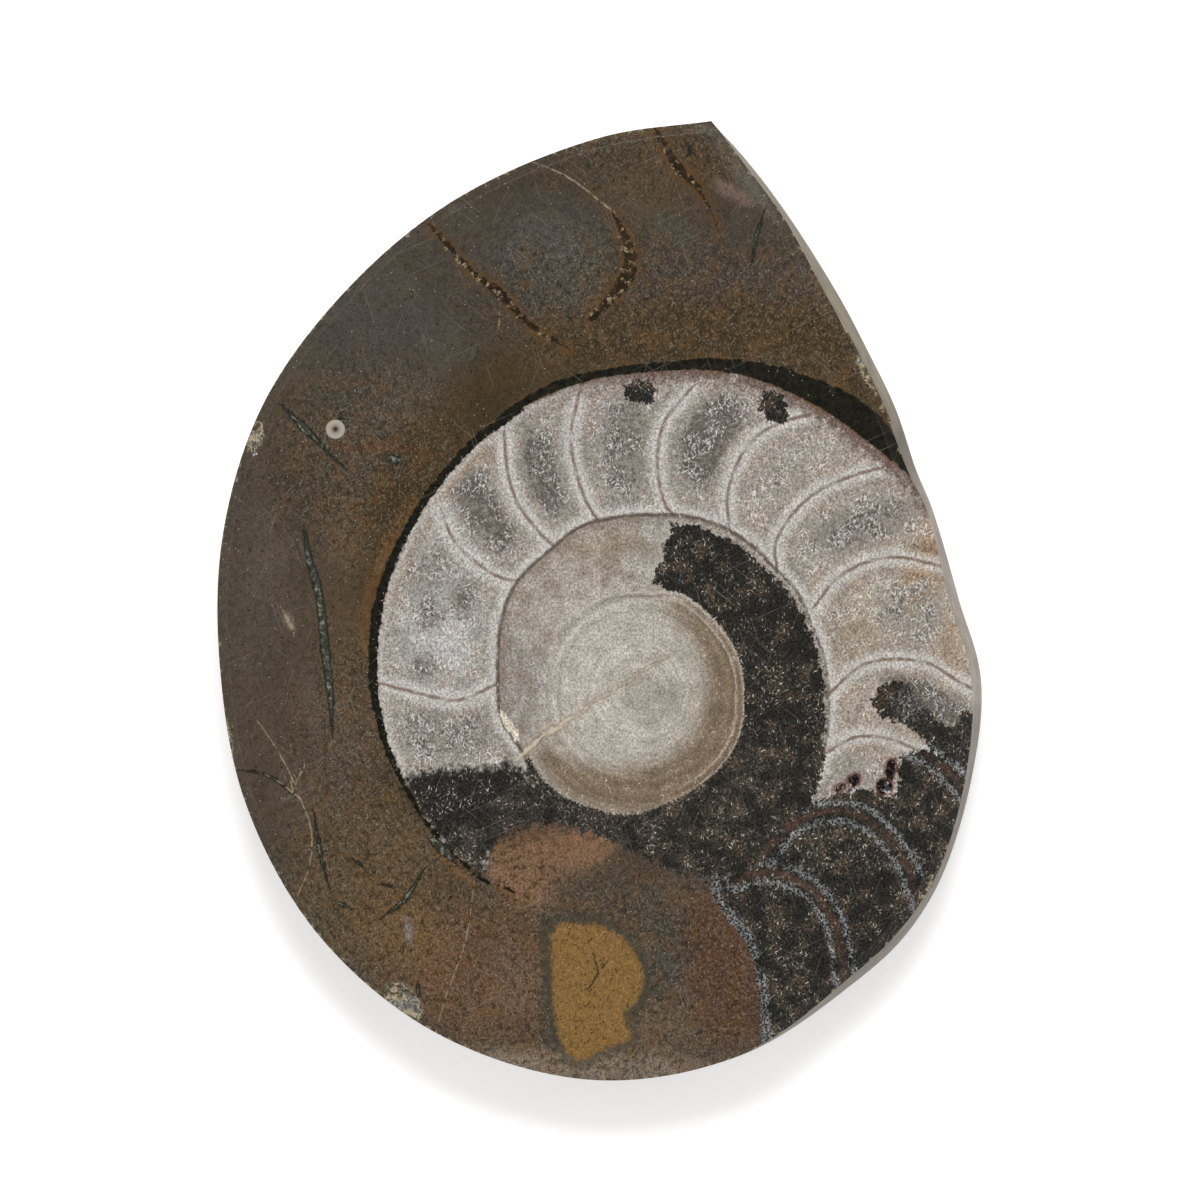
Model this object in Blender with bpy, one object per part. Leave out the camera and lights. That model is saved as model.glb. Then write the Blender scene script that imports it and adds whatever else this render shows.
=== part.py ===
"""Polished slab of dark limestone with a coiled fossil shell cut through its middle.

The slab is one piece of stone. It lies on its flat sawn back with the polished face up.
Its outline is a teardrop that was ground by hand to follow the shell. The wall leans
outward below the polished edge on the right and a little inward on the left.

Frame: +Z up, +Y towards the teardrop's tip, +X to the right of the polished face.
The origin is under the middle of the slab, on the surface it lies on.
"""

import math

import bmesh
import bpy
from mathutils import Euler, Vector, noise

MM = 0.001

# Driving dimensions, in millimetres
THICKNESS = 15.0
FACE_EDGE_WIDTH = 0.9
FACE_EDGE_DROP = 0.28
BACK_EDGE_WIDTH = 0.9
BACK_EDGE_HEIGHT = 1.1
WIDEST_DEPTH = 7.6
WALL_WAVE = 0.10
WAVE_LENGTH = 9.0
WALL_RINGS = 6
POINTS_PER_SPAN = 6

# Edge of the polished face, read anticlockwise from the tip: x, y, how far the wall
# comes out below the edge, and how far it goes back in again by the sawn back. A
# negative reach is a wall that leans in from the top. From the notch at (31, 10)
# clockwise to the bottom the wall is the shell's own round side.
TIP = (10.7, 46.0, 0.1, 0.5)
FACE_OUTLINE = [
    TIP,
    (0.0, 44.4, -0.25, 0.4),
    (-14.0, 38.4, -0.4, 0.3),
    (-24.7, 29.4, -0.4, 0.3),
    (-32.4, 18.7, -0.35, 0.4),
    (-36.2, 6.4, -0.3, 0.6),
    (-36.5, -6.4, -0.3, 0.7),
    (-34.0, -19.6, -0.35, 0.6),
    (-27.0, -32.2, -0.4, 0.4),
    (-15.5, -41.7, -0.4, 0.5),
    (-0.5, -46.1, -0.25, 0.9),
    (13.7, -43.6, 0.2, 1.4),
    (23.9, -36.3, 0.85, 1.7),
    (28.7, -31.8, 0.95, 1.8),
    (32.4, -26.2, 0.75, 1.9),
    (35.1, -17.0, 0.75, 2.0),
    (35.7, -7.6, 1.05, 2.0),
    (33.6, -0.3, 1.1, 1.9),
    (31.4, 8.6, 0.65, 1.3),
    (29.6, 12.3, 0.9, 0.8),
    (27.3, 18.2, 1.25, 0.5),
    (24.2, 24.6, 1.2, 0.3),
    (20.9, 30.8, 1.05, 0.3),
    (17.7, 36.6, 0.65, 0.4),
    (13.6, 42.2, 0.5, 0.5),
    TIP,
]

# Flakes knocked off the polished edge: middle x, y, length along the edge, half width
# across it, depth below the face, and the edge's direction in degrees.
EDGE_CHIPS = {
    "left_shoulder": (-33.1, 15.7, 3.1, 0.7, 0.50, 72.0),
    "left_flank": (-35.9, -13.2, 4.6, 0.45, 0.45, 101.0),
    "lower_left": (-18.9, -38.6, 4.4, 1.35, 0.60, -48.0),
    "lower_right": (31.5, -27.5, 2.8, 0.6, 0.55, 57.0),
    "upper_right": (25.5, 21.8, 3.6, 0.40, 0.45, -64.0),
}

# Pits in the polished face: x, y, length, half width, depth, direction in degrees.
FACE_PITS = {
    "navel_gouge": (-8.7, -12.0, 3.4, 0.35, 0.40, -56.0),
    "chamber_pit_outer": (27.6, -17.2, 2.0, 0.55, 0.50, 75.0),
    "chamber_pit_inner": (24.1, -17.6, 1.6, 0.50, 0.40, 35.0),
}

CHIP_ROUGHNESS = 0.22
CHIP_LUMPS = 1.7
CHIP_DETAIL = 2


def remove_everything():
    """Clears the scene, so that the script can be run again."""
    for item in list(bpy.data.objects):
        bpy.data.objects.remove(item, do_unlink=True)


def stone_material():
    """Dark polished limestone."""
    material = bpy.data.materials.new("fossil_limestone")
    material.use_nodes = True
    shader = material.node_tree.nodes["Principled BSDF"]
    shader.inputs["Base Color"].default_value = (0.105, 0.085, 0.066, 1.0)
    shader.inputs["Roughness"].default_value = 0.38
    shader.inputs["Metallic"].default_value = 0.0
    return material


def blend(first, second, first_knot, second_knot, place):
    """The mix of two points at a place between, or beyond, their knots."""
    return first.lerp(second, (place - first_knot) / (second_knot - first_knot))


def spline_point(before, start, end, after, share):
    """A point on the centripetal spline from start to end, share of the way along."""
    knot_start = math.sqrt((start.xy - before.xy).length)
    knot_end = knot_start + math.sqrt((end.xy - start.xy).length)
    knot_after = knot_end + math.sqrt((after.xy - end.xy).length)
    place = knot_start + share * (knot_end - knot_start)
    left = blend(before, start, 0.0, knot_start, place)
    middle = blend(start, end, knot_start, knot_end, place)
    right = blend(end, after, knot_end, knot_after, place)
    left = blend(left, middle, 0.0, knot_end, place)
    right = blend(middle, right, knot_start, knot_after, place)
    return blend(left, right, knot_start, knot_end, place)


def face_outline():
    """Points of the polished edge as x, y, reach and tuck, with a true corner at the tip."""
    first = Vector(FACE_OUTLINE[0])
    last = Vector(FACE_OUTLINE[-1])
    before = 2 * first - Vector(FACE_OUTLINE[1])
    after = 2 * last - Vector(FACE_OUTLINE[-2])
    path = [before, *map(Vector, FACE_OUTLINE), after]
    outline = []
    for span in range(1, len(path) - 2):
        for step in range(POINTS_PER_SPAN):
            share = step / POINTS_PER_SPAN
            outline.append(spline_point(*path[span - 1 : span + 3], share))
    return outline


def outward_normals(outline):
    """The outward direction at each point of the outline, across the two edges beside it."""
    normals = []
    count = len(outline)
    for i, point in enumerate(outline):
        along = outline[(i + 1) % count].xy - outline[i - 1].xy
        normals.append(Vector((along.y, -along.x)).normalized())
    return normals


def wall_reach(depth, reach, tuck):
    """How far outside the polished edge the wall stands at a depth below the face."""
    share = min(depth / WIDEST_DEPTH, 1.0)
    out = reach * math.sin(share * math.pi / 2)
    under = max(depth - WIDEST_DEPTH, 0.0) / (THICKNESS - WIDEST_DEPTH)
    return out - tuck * under * under


def hand_ground_wave(point, depth):
    """Low waves that a hand-held stone gets on a grinding wheel."""
    place = Vector((point.x, point.y, depth)) / WAVE_LENGTH
    fade = math.sin(math.pi * depth / THICKNESS)
    return WALL_WAVE * fade * noise.noise(place)


def wall_profile():
    """The wall's rings from the polished face to the back: depth below the face, and inset."""
    rings = [(0.0, FACE_EDGE_WIDTH), (FACE_EDGE_DROP * 0.25, FACE_EDGE_WIDTH * 0.45)]
    top = FACE_EDGE_DROP
    bottom = THICKNESS - BACK_EDGE_HEIGHT
    for i in range(WALL_RINGS + 1):
        rings.append((top + (bottom - top) * i / WALL_RINGS, 0.0))
    for turn in (45, 90):
        angle = math.radians(turn)
        depth = bottom + BACK_EDGE_HEIGHT * math.sin(angle)
        rings.append((depth, BACK_EDGE_WIDTH * (1 - math.cos(angle))))
    return rings


def add_ring(mesh, outline, normals, depth, inset):
    """Adds one closed ring of vertices round the slab at a depth below the face."""
    ring = []
    for point, normal in zip(outline, normals):
        offset = wall_reach(depth, point.z, point.w) + hand_ground_wave(point, depth) - inset
        place = point.xy + normal * offset
        ring.append(mesh.verts.new((place.x * MM, place.y * MM, (THICKNESS - depth) * MM)))
    return ring


def slab_body():
    """The slab as a stack of rings from the polished face down to the sawn back."""
    outline = face_outline()
    normals = outward_normals(outline)
    mesh = bmesh.new()
    rings = [add_ring(mesh, outline, normals, depth, inset) for depth, inset in wall_profile()]
    count = len(outline)
    for upper, lower in zip(rings, rings[1:]):
        for i in range(count):
            after = (i + 1) % count
            mesh.faces.new((upper[i], lower[i], lower[after], upper[after]))
    mesh.faces.new(rings[0])
    mesh.faces.new(list(reversed(rings[-1])))
    bmesh.ops.recalc_face_normals(mesh, faces=mesh.faces[:])
    data = bpy.data.meshes.new("ammonite_slab")
    mesh.to_mesh(data)
    mesh.free()
    slab = bpy.data.objects.new("ammonite_slab", data)
    bpy.context.collection.objects.link(slab)
    data.materials.append(stone_material())
    return slab


def chip_cutter(name, x, y, length, half_width, depth, direction):
    """A rough lens of stone that a knock takes out, level with the face and sunk to its depth."""
    mesh = bmesh.new()
    bmesh.ops.create_icosphere(mesh, subdivisions=CHIP_DETAIL, radius=1.0)
    half_size = Vector((length / 2, half_width, depth)) * MM
    for vertex in mesh.verts:
        rough = 1 + CHIP_ROUGHNESS * noise.noise(vertex.co * CHIP_LUMPS + Vector((x, y, 0)))
        vertex.co *= half_size * rough
    data = bpy.data.meshes.new(name)
    mesh.to_mesh(data)
    mesh.free()
    cutter = bpy.data.objects.new(name, data)
    bpy.context.collection.objects.link(cutter)
    cutter.rotation_euler = Euler((0, 0, math.radians(direction)))
    cutter.location = (x * MM, y * MM, THICKNESS * MM)
    cutter.hide_render = True
    cutter.display_type = "WIRE"
    return cutter


def cut_away(body, cutter):
    """Takes the cutter's shape out of the body with a Boolean that stays on it."""
    cut = body.modifiers.new(cutter.name, "BOOLEAN")
    cut.operation = "DIFFERENCE"
    cut.solver = "EXACT"
    cut.object = cutter


def shade(body):
    """Smooth shading with sharp edges where the faces meet at a real angle."""
    body.data.shade_smooth()
    body.data.set_sharp_from_angle(angle=math.radians(28))


def build():
    """Builds the slab with its edge chips and pits."""
    remove_everything()
    slab = slab_body()
    shade(slab)
    for name, chip in {**EDGE_CHIPS, **FACE_PITS}.items():
        cut_away(slab, chip_cutter(f"chip_{name}", *chip))


build()
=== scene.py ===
"""Looks of a polished slab of dark limestone with a coiled, chambered fossil shell cut through it.

The slab is one stone. Its polished face, hand-ground wall and sawn back are one closed mesh with
a finish each. What the polish shows, such as the shell's walls, its chambers, veins and cracks,
is drawn as named curves in millimetres. Each vertex holds its distance to them, and the finishes
turn those distances into crisp edges, rims and stains.
"""

import logging
import math
from dataclasses import dataclass, field
from enum import Enum

import bpy
import numpy as np
from mathutils import Euler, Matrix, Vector, noise


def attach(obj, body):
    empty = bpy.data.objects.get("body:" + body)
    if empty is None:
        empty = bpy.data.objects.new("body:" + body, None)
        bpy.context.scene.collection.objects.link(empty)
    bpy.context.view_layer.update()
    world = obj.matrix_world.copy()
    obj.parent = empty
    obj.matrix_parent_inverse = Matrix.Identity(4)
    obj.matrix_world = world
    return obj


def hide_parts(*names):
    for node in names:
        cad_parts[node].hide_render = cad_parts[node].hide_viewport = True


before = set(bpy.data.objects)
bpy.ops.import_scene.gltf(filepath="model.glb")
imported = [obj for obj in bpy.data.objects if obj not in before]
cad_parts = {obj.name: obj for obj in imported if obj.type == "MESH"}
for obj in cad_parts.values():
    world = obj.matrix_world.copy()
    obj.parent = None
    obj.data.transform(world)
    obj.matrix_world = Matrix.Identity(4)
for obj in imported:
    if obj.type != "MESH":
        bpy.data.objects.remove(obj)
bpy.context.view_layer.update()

MM = 0.001
THICKNESS = 15.0
PHOTO_SIDE = 1200
MM_PER_PIXEL = 0.096
FIELD_REACH = 9.0
LIGHT_GAIN = 1.35
POLISH_HAZE = 0.010
NOISE_SPAN = (0.3, 0.7)
NOISE_ROUGHNESS = 0.62
FIBRES_ALONG = 1.5
FIBRES_ACROSS = 6.0
CRYSTAL_WAYS = (28.0, -52.0, 84.0)
MAP_SPAN = 92.3
SAME_DEPTH = 0.01
SLAB_NODE = "ammonite_slab"

# Lumps in a millimetre and finer layers: tones over about 7, 2, 0.7 and 0.2 mm.
PATTERNS = {"broad": (0.15, 4), "cloud": (0.5, 4), "middle": (1.5, 3), "grain": (4.6, 1)}

log = logging.getLogger("ammonite")

Point = tuple[float, float]
Path = list[Point]
Rgb = tuple[float, float, float]


class Surface(Enum):
    """The slab's three kinds of surface, numbered as the mesh's material slots."""

    POLISHED_FACE = 0
    GROUND_WALL = 1
    SAWN_BACK = 2


def albedo(colour: Rgb) -> tuple[float, float, float, float]:
    """Finds the stone colour that looks like a display colour under the studio's lights.

    Args:
        colour: Red, green and blue from 0 to 255, as the stone should look.

    Returns:
        Linear red, green and blue for a shader, and an alpha of one.
    """
    shares = [value / 255 for value in colour]
    seen = [s / 12.92 if s <= 0.04045 else ((s + 0.055) / 1.055) ** 2.4 for s in shares]
    stone = [max(s - POLISH_HAZE, 0.0015) / LIGHT_GAIN for s in seen]
    return (stone[0], stone[1], stone[2], 1.0)


def deselect_all() -> None:
    """Leaves nothing selected, so that an operator acts only on what comes next."""
    if bpy.context.object and bpy.context.object.mode != "OBJECT":
        bpy.ops.object.mode_set(mode="OBJECT")
    bpy.ops.object.select_all(action="DESELECT")


def pick_alone(item: bpy.types.Object) -> None:
    """Selects one object and makes it the active one."""
    deselect_all()
    item.select_set(True)
    bpy.context.view_layer.objects.active = item


def read_array(items: object, name: str, width: int = 1, kind: type = np.float32) -> np.ndarray:
    """Reads one property of all a mesh's vertices, corners or faces.

    Args:
        items: The mesh's collection of them.
        name: The property's name.
        width: How many numbers it has for each.
        kind: The numbers' type.

    Returns:
        The numbers, in columns where there are several for each.
    """
    values = np.empty(len(items) * width, kind)
    items.foreach_get(name, values)
    return values.reshape(-1, width) if width > 1 else values


def smooth_path(points: Path, closed: bool = False, steps: int = 6) -> np.ndarray:
    """Draws a centripetal spline through points of any number of columns.

    Args:
        points: The curve's own points. The first two columns are its place.
        closed: Whether the last point joins the first.
        steps: How many points each span gets.

    Returns:
        The points of the smooth curve.
    """
    own = np.array(points, float)
    if closed:
        own = np.vstack([own[-1], own, own[0], own[1]])
    else:
        own = np.vstack([2 * own[0] - own[1], own, 2 * own[-1] - own[-2]])
    lengths = np.hypot(*(own[1:, :2] - own[:-1, :2]).T)
    knots = np.concatenate([[0.0], np.cumsum(np.sqrt(lengths))])
    curve = []
    for i in range(1, len(own) - 2):
        t0, t1, t2, t3 = knots[i - 1 : i + 3]
        p0, p1, p2, p3 = own[i - 1 : i + 3]
        for t in np.linspace(t1, t2, steps, endpoint=False):
            a1 = p0 + (p1 - p0) * (t - t0) / (t1 - t0)
            a2 = p1 + (p2 - p1) * (t - t1) / (t2 - t1)
            a3 = p2 + (p3 - p2) * (t - t2) / (t3 - t2)
            b1 = a1 + (a2 - a1) * (t - t0) / (t2 - t0)
            b2 = a2 + (a3 - a2) * (t - t1) / (t3 - t1)
            curve.append(b1 + (b2 - b1) * (t - t1) / (t2 - t1))
    if not closed:
        curve.append(own[-2])
    return np.array(curve)


def nearest_on(path: np.ndarray, places: np.ndarray) -> tuple[np.ndarray, np.ndarray, np.ndarray]:
    """Finds each place's distance to an open path.

    Args:
        path: Points of the path, two columns.
        places: Places to measure from, two columns.

    Returns:
        The distance, the side (1 on the left of the path's way, -1 on its right), and how far
        along the path the nearest point lies, from 0 to 1.
    """
    start = path[:-1]
    step = path[1:] - start
    size = (step**2).sum(1)
    runs = np.concatenate([[0.0], np.cumsum(np.sqrt(size))])
    distance = np.empty(len(places))
    side = np.empty(len(places))
    share = np.empty(len(places))
    for low in range(0, len(places), 16000):
        part = places[low : low + 16000]
        gap = part[:, None, :] - start[None]
        along = np.clip((gap * step).sum(2) / size, 0, 1)
        off = gap - along[..., None] * step
        squared = (off**2).sum(2)
        best = squared.argmin(1)
        rows = np.arange(len(part))
        turn = step[best, 0] * gap[rows, best, 1] - step[best, 1] * gap[rows, best, 0]
        distance[low : low + 16000] = np.sqrt(squared[rows, best])
        side[low : low + 16000] = np.where(turn >= 0, 1.0, -1.0)
        run = runs[best] + along[rows, best] * np.sqrt(size[best])
        share[low : low + 16000] = run / runs[-1]
    return distance, side, share


def near_box(path: np.ndarray, places: np.ndarray, reach: float) -> tuple[np.ndarray, np.ndarray]:
    """Tells which places lie near the box round a path.

    Args:
        path: Points of the path, two columns.
        places: Places to test, two columns.
        reach: How near, in millimetres.

    Returns:
        True for each place within reach of the box, and each place's distance to the box.
    """
    beyond = np.maximum(path[:, :2].min(0) - places, places - path[:, :2].max(0))
    away = np.hypot(*np.clip(beyond, 0, None).T)
    return away <= reach, away


def inside(path: np.ndarray, places: np.ndarray) -> np.ndarray:
    """Tells which places lie inside a closed path.

    Args:
        path: Points of the closed path, two columns.
        places: Places to test, two columns.

    Returns:
        True for each place inside.
    """
    within = np.zeros(len(places), bool)
    for start, end in zip(path, np.roll(path, -1, axis=0)):
        crosses = (start[1] > places[:, 1]) != (end[1] > places[:, 1])
        rise = end[1] - start[1]
        if rise == 0:
            continue
        at = start[0] + (places[:, 1] - start[1]) * (end[0] - start[0]) / rise
        within ^= crosses & (places[:, 0] < at)
    return within


@dataclass(frozen=True)
class Region:
    """A closed patch, drawn as a smooth outline in millimetres.

    Args:
        outline: Its own points, in order.
        steps: How many points each span of the smooth outline gets. 1 keeps straight sides.
    """

    outline: Path
    steps: int = 5

    def distance(self, places: np.ndarray) -> np.ndarray:
        """Returns each place's distance to the outline, negative inside."""
        path = smooth_path(self.outline, closed=True, steps=self.steps)
        near, distance = near_box(path, places, FIELD_REACH)
        away, _, _ = nearest_on(np.vstack([path, path[:1]]), places[near])
        distance[near] = np.where(inside(path, places[near]), -away, away)
        return distance


@dataclass(frozen=True)
class Stroke:
    """A line with a width, such as a crack or a vein.

    Args:
        path: Its own points, in order.
        widths: Full widths along it, evenly spread from its start to its end.
    """

    path: Path
    widths: tuple[float, ...]

    def distance(self, places: np.ndarray) -> np.ndarray:
        """Returns each place's distance to the line's edge, negative inside the line."""
        path = smooth_path(self.path)
        near, distance = near_box(path, places, FIELD_REACH)
        away, _, share = nearest_on(path, places[near])
        spread = np.linspace(0, 1, len(self.widths))
        distance[near] = away - np.interp(share, spread, self.widths) / 2
        return distance


@dataclass(frozen=True)
class Tint:
    """A soft stain of colour in the stone.

    Args:
        form: The patch or line that is stained.
        colour: Its display colour, 0 to 255.
        strength: How strongly it covers, 0 to 1.
        feather: Over how many millimetres it fades at its edge.
    """

    form: Region | Stroke
    colour: Rgb
    strength: float
    feather: float

    def lay(self, colours: np.ndarray, places: np.ndarray) -> np.ndarray:
        """Lays the stain over colours.

        Args:
            colours: Linear colours so far, three columns.
            places: Their places in millimetres.

        Returns:
            The stained colours.
        """
        reach = 0.5 - self.form.distance(places) / self.feather
        cover = np.clip(reach, 0, 1)
        cover = self.strength * cover * cover * (3 - 2 * cover)
        top = np.array(albedo(self.colour)[:3])
        return colours + (top - colours) * cover[:, None]


def spot(x: float, y: float, across: float, tall: float = 0.0, turn: float = 0.0) -> Region:
    """An oval region.

    Args:
        x: Its middle.
        y: Its middle.
        across: Its length, before it is turned.
        tall: Its other length. Zero makes it round.
        turn: Degrees anticlockwise.

    Returns:
        The oval as a region of eight points.
    """
    half_x = across / 2
    half_y = (tall or across) / 2
    angle = math.radians(turn)
    outline = []
    for step in range(8):
        way = step * math.tau / 8
        px = half_x * math.cos(way)
        py = half_y * math.sin(way)
        outline.append(
            (
                x + px * math.cos(angle) - py * math.sin(angle),
                y + px * math.sin(angle) + py * math.cos(angle),
            )
        )
    return Region(outline)


@dataclass
class SlabForm:
    """The slab's outline, edge and wall, as the solid has them, in millimetres."""

    tip: tuple[float, ...] = (10.7, 46.0, 0.1, 0.5)
    outline: list[tuple[float, ...]] = field(
        default_factory=lambda: [
            (0.0, 44.4, -0.25, 0.4),
            (-14.0, 38.4, -0.4, 0.3),
            (-24.7, 29.4, -0.4, 0.3),
            (-32.4, 18.7, -0.35, 0.4),
            (-36.2, 6.4, -0.3, 0.6),
            (-36.5, -6.4, -0.3, 0.7),
            (-34.0, -19.6, -0.35, 0.6),
            (-27.0, -32.2, -0.4, 0.4),
            (-15.5, -41.7, -0.4, 0.5),
            (-0.5, -46.1, -0.25, 0.9),
            (13.7, -43.6, 0.2, 1.4),
            (23.9, -36.3, 0.85, 1.7),
            (28.7, -31.8, 0.95, 1.8),
            (32.4, -26.2, 0.75, 1.9),
            (35.1, -17.0, 0.75, 2.0),
            (35.7, -7.6, 1.05, 2.0),
            (33.6, -0.3, 1.1, 1.9),
            (31.4, 8.6, 0.65, 1.3),
            (29.6, 12.3, 0.9, 0.8),
            (27.3, 18.2, 1.25, 0.5),
            (24.2, 24.6, 1.2, 0.3),
            (20.9, 30.8, 1.05, 0.3),
            (17.7, 36.6, 0.65, 0.4),
            (13.6, 42.2, 0.5, 0.5),
        ]
    )
    face_edge_width: float = 0.9
    face_edge_drop: float = 0.28
    face_edge_curve: float = 2.2
    back_edge_width: float = 0.9
    back_edge_height: float = 1.1
    widest_depth: float = 7.6
    wall_wave: float = 0.10
    wave_length: float = 9.0

    def edge(self, count: int) -> tuple[np.ndarray, np.ndarray]:
        """Spreads points evenly along the polished edge, anticlockwise from the tip.

        Args:
            count: How many points.

        Returns:
            Their x, y, reach and tuck, and their outward directions.
        """
        fine = smooth_path([self.tip, *self.outline, self.tip], steps=24)
        runs = np.concatenate([[0.0], np.cumsum(np.hypot(*np.diff(fine[:, :2], axis=0).T))])
        places = np.linspace(0, runs[-1], count, endpoint=False)
        points = np.column_stack([np.interp(places, runs, column) for column in fine.T])
        along = np.roll(points[:, :2], -1, axis=0) - np.roll(points[:, :2], 1, axis=0)
        outward = np.column_stack([along[:, 1], -along[:, 0]])
        return points, outward / np.hypot(*outward.T)[:, None]

    def wall_offset(self, points: np.ndarray, depth: float) -> np.ndarray:
        """How far outside the polished edge the wall stands.

        Args:
            points: Points of the edge with their reach and tuck.
            depth: Depth below the face.

        Returns:
            The offset of each point.
        """
        share = min(depth / self.widest_depth, 1.0)
        under = max(depth - self.widest_depth, 0.0) / (THICKNESS - self.widest_depth)
        reach = points[:, 2] * math.sin(share * math.pi / 2)
        fade = math.sin(math.pi * depth / THICKNESS)
        wave = [
            noise.noise(Vector((x, y, depth)) / self.wave_length) for x, y in points[:, :2]
        ]
        return reach - points[:, 3] * under * under + self.wall_wave * fade * np.array(wave)


@dataclass
class Chip:
    """A flake knocked off the edge, or a pit in the face.

    Args:
        x: Its middle.
        y: Its middle.
        length: Along its own direction.
        half_width: Across it.
        depth: Below the face.
        turn: Its direction in degrees.
    """

    x: float
    y: float
    length: float
    half_width: float
    depth: float
    turn: float

    def sink(self, places: np.ndarray) -> np.ndarray:
        """Returns how deep the chip is at each place, and zero outside it."""
        angle = math.radians(self.turn)
        dx = places[:, 0] - self.x
        dy = places[:, 1] - self.y
        along = (dx * math.cos(angle) + dy * math.sin(angle)) / (self.length / 2)
        across = (dy * math.cos(angle) - dx * math.sin(angle)) / self.half_width
        return self.depth * np.sqrt(np.clip(1 - along**2 - across**2, 0, None))

    def form(self, grow: float = 0.0) -> Region:
        """Returns the chip's outline on the face, grown by some millimetres."""
        return spot(self.x, self.y, self.length + 2 * grow, 2 * (self.half_width + grow), self.turn)


@dataclass
class FossilDrawing:
    """What the polish shows: every curve is in millimetres on the face, +Y to the slab's tip."""

    middle: Point = (3.8, -8.7)
    coil: Path = field(
        default_factory=lambda: [
            (31.6, 9.4), (29.6, 12.1), (27.1, 14.1), (22.5, 17.6), (17.9, 20.1), (13.6, 21.6),
            (9.9, 22.1), (6.3, 22.0), (0.4, 21.4), (-3.5, 20.3), (-7.8, 18.3), (-11.9, 15.3),
            (-15.2, 11.7), (-17.6, 8.3), (-19.7, 4.2), (-21.0, 0.7), (-21.6, -2.4), (-21.8, -5.3),
            (-21.7, -8.7), (-21.2, -11.4), (-20.1, -15.1), (-18.2, -18.8), (-16.0, -22.3),
            (-13.2, -25.1), (-11.2, -26.9), (-8.2, -28.0),
        ]
    )
    rind_outer: Path = field(
        default_factory=lambda: [
            (31.3, 10.6), (28.6, 15.2), (26.6, 17.9), (24.6, 19.5), (21.6, 20.9), (19.2, 21.8),
            (16.2, 22.6), (13.0, 23.1), (9.9, 23.2), (6.3, 22.9), (0.4, 22.2), (-4.2, 21.0),
            (-9.3, 18.0),
        ]
    )
    whorl: Path = field(
        default_factory=lambda: [
            (-7.2, -15.1), (-9.5, -11.4), (-9.8, -8.7), (-9.8, -5.3), (-9.5, -2.0), (-8.0, 1.7),
            (-4.8, 4.8), (-2.0, 7.0), (1.7, 8.0), (5.6, 8.2), (8.7, 8.0), (11.8, 7.0), (14.8, 5.1),
            (16.9, 2.9), (18.9, 0.8), (20.3, -2.4), (21.4, -5.3), (21.9, -9.4), (21.6, -14.1),
            (20.3, -18.0), (18.5, -21.2), (15.6, -24.5), (11.7, -25.8), (8.6, -25.9), (5.2, -24.7),
            (1.9, -23.0), (-1.0, -21.9), (-3.9, -20.7), (-6.3, -18.6),
        ]
    )
    disc: Path = field(
        default_factory=lambda: [
            (0.9, 0.6), (5.4, 0.9), (7.8, 0.7), (10.9, -1.7), (12.9, -4.4), (13.8, -7.1),
            (13.9, -9.7), (13.6, -12.7), (11.9, -15.8), (9.2, -18.1), (5.5, -20.0), (2.8, -20.7),
            (-0.2, -20.2), (-3.6, -18.8), (-5.9, -16.8), (-6.8, -14.2), (-5.2, -8.8), (-4.8, -6.3),
            (-3.8, -3.0), (-1.6, -0.6),
        ]
    )
    septa: list[Path] = field(
        default_factory=lambda: [
            [(-21.0, -8.0), (-16.9, -9.1), (-13.5, -9.6), (-9.8, -8.0)],
            [(-15.3, 8.7), (-14.0, 5.7), (-11.9, 3.6), (-9.4, 2.1), (-7.5, 1.8)],
            [(-9.2, 16.2), (-8.8, 11.9), (-7.8, 9.1), (-6.0, 6.7), (-4.3, 5.0)],
            [(-2.0, 19.9), (-2.8, 15.8), (-2.4, 12.7), (-1.4, 9.6), (-0.2, 7.6)],
            [(8.8, 20.4), (6.3, 17.3), (5.6, 14.9), (5.6, 11.9), (6.3, 9.1), (6.9, 8.3)],
            [(20.6, 17.9), (17.3, 17.0), (14.8, 15.5), (13.0, 12.7), (12.2, 9.6), (12.4, 7.2)],
            [(27.6, 12.9), (23.4, 11.6), (20.3, 10.0), (17.9, 7.5), (16.8, 5.1), (17.0, 3.1)],
            [(33.0, 3.2), (28.6, 4.1), (25.5, 3.6), (22.8, 2.1), (20.6, -0.6)],
            [(36.5, -8.9), (34.4, -7.8), (31.4, -6.0), (28.9, -5.7), (26.7, -5.8), (24.9, -6.4),
             (22.0, -9.0)],
            [(36.0, -19.6), (34.2, -17.3), (31.9, -15.2), (28.3, -13.5), (26.4, -13.1),
             (24.4, -13.2), (21.8, -14.6)],
            [(31.4, -30.0), (30.4, -28.0), (29.3, -25.1), (27.5, -22.7), (25.1, -20.8),
             (22.7, -20.3), (20.1, -20.7), (17.7, -22.2), (15.6, -24.5)],
            [(23.9, -38.0), (23.5, -36.1), (22.5, -30.9), (20.9, -28.5), (19.0, -27.0),
             (16.9, -26.2), (15.1, -26.2), (13.0, -26.9)],
            [(16.4, -44.0), (15.7, -39.3), (15.5, -36.4), (14.8, -34.0), (13.8, -31.9),
             (12.4, -30.3), (11.2, -28.9), (11.0, -26.4)],
        ]
    )

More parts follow.
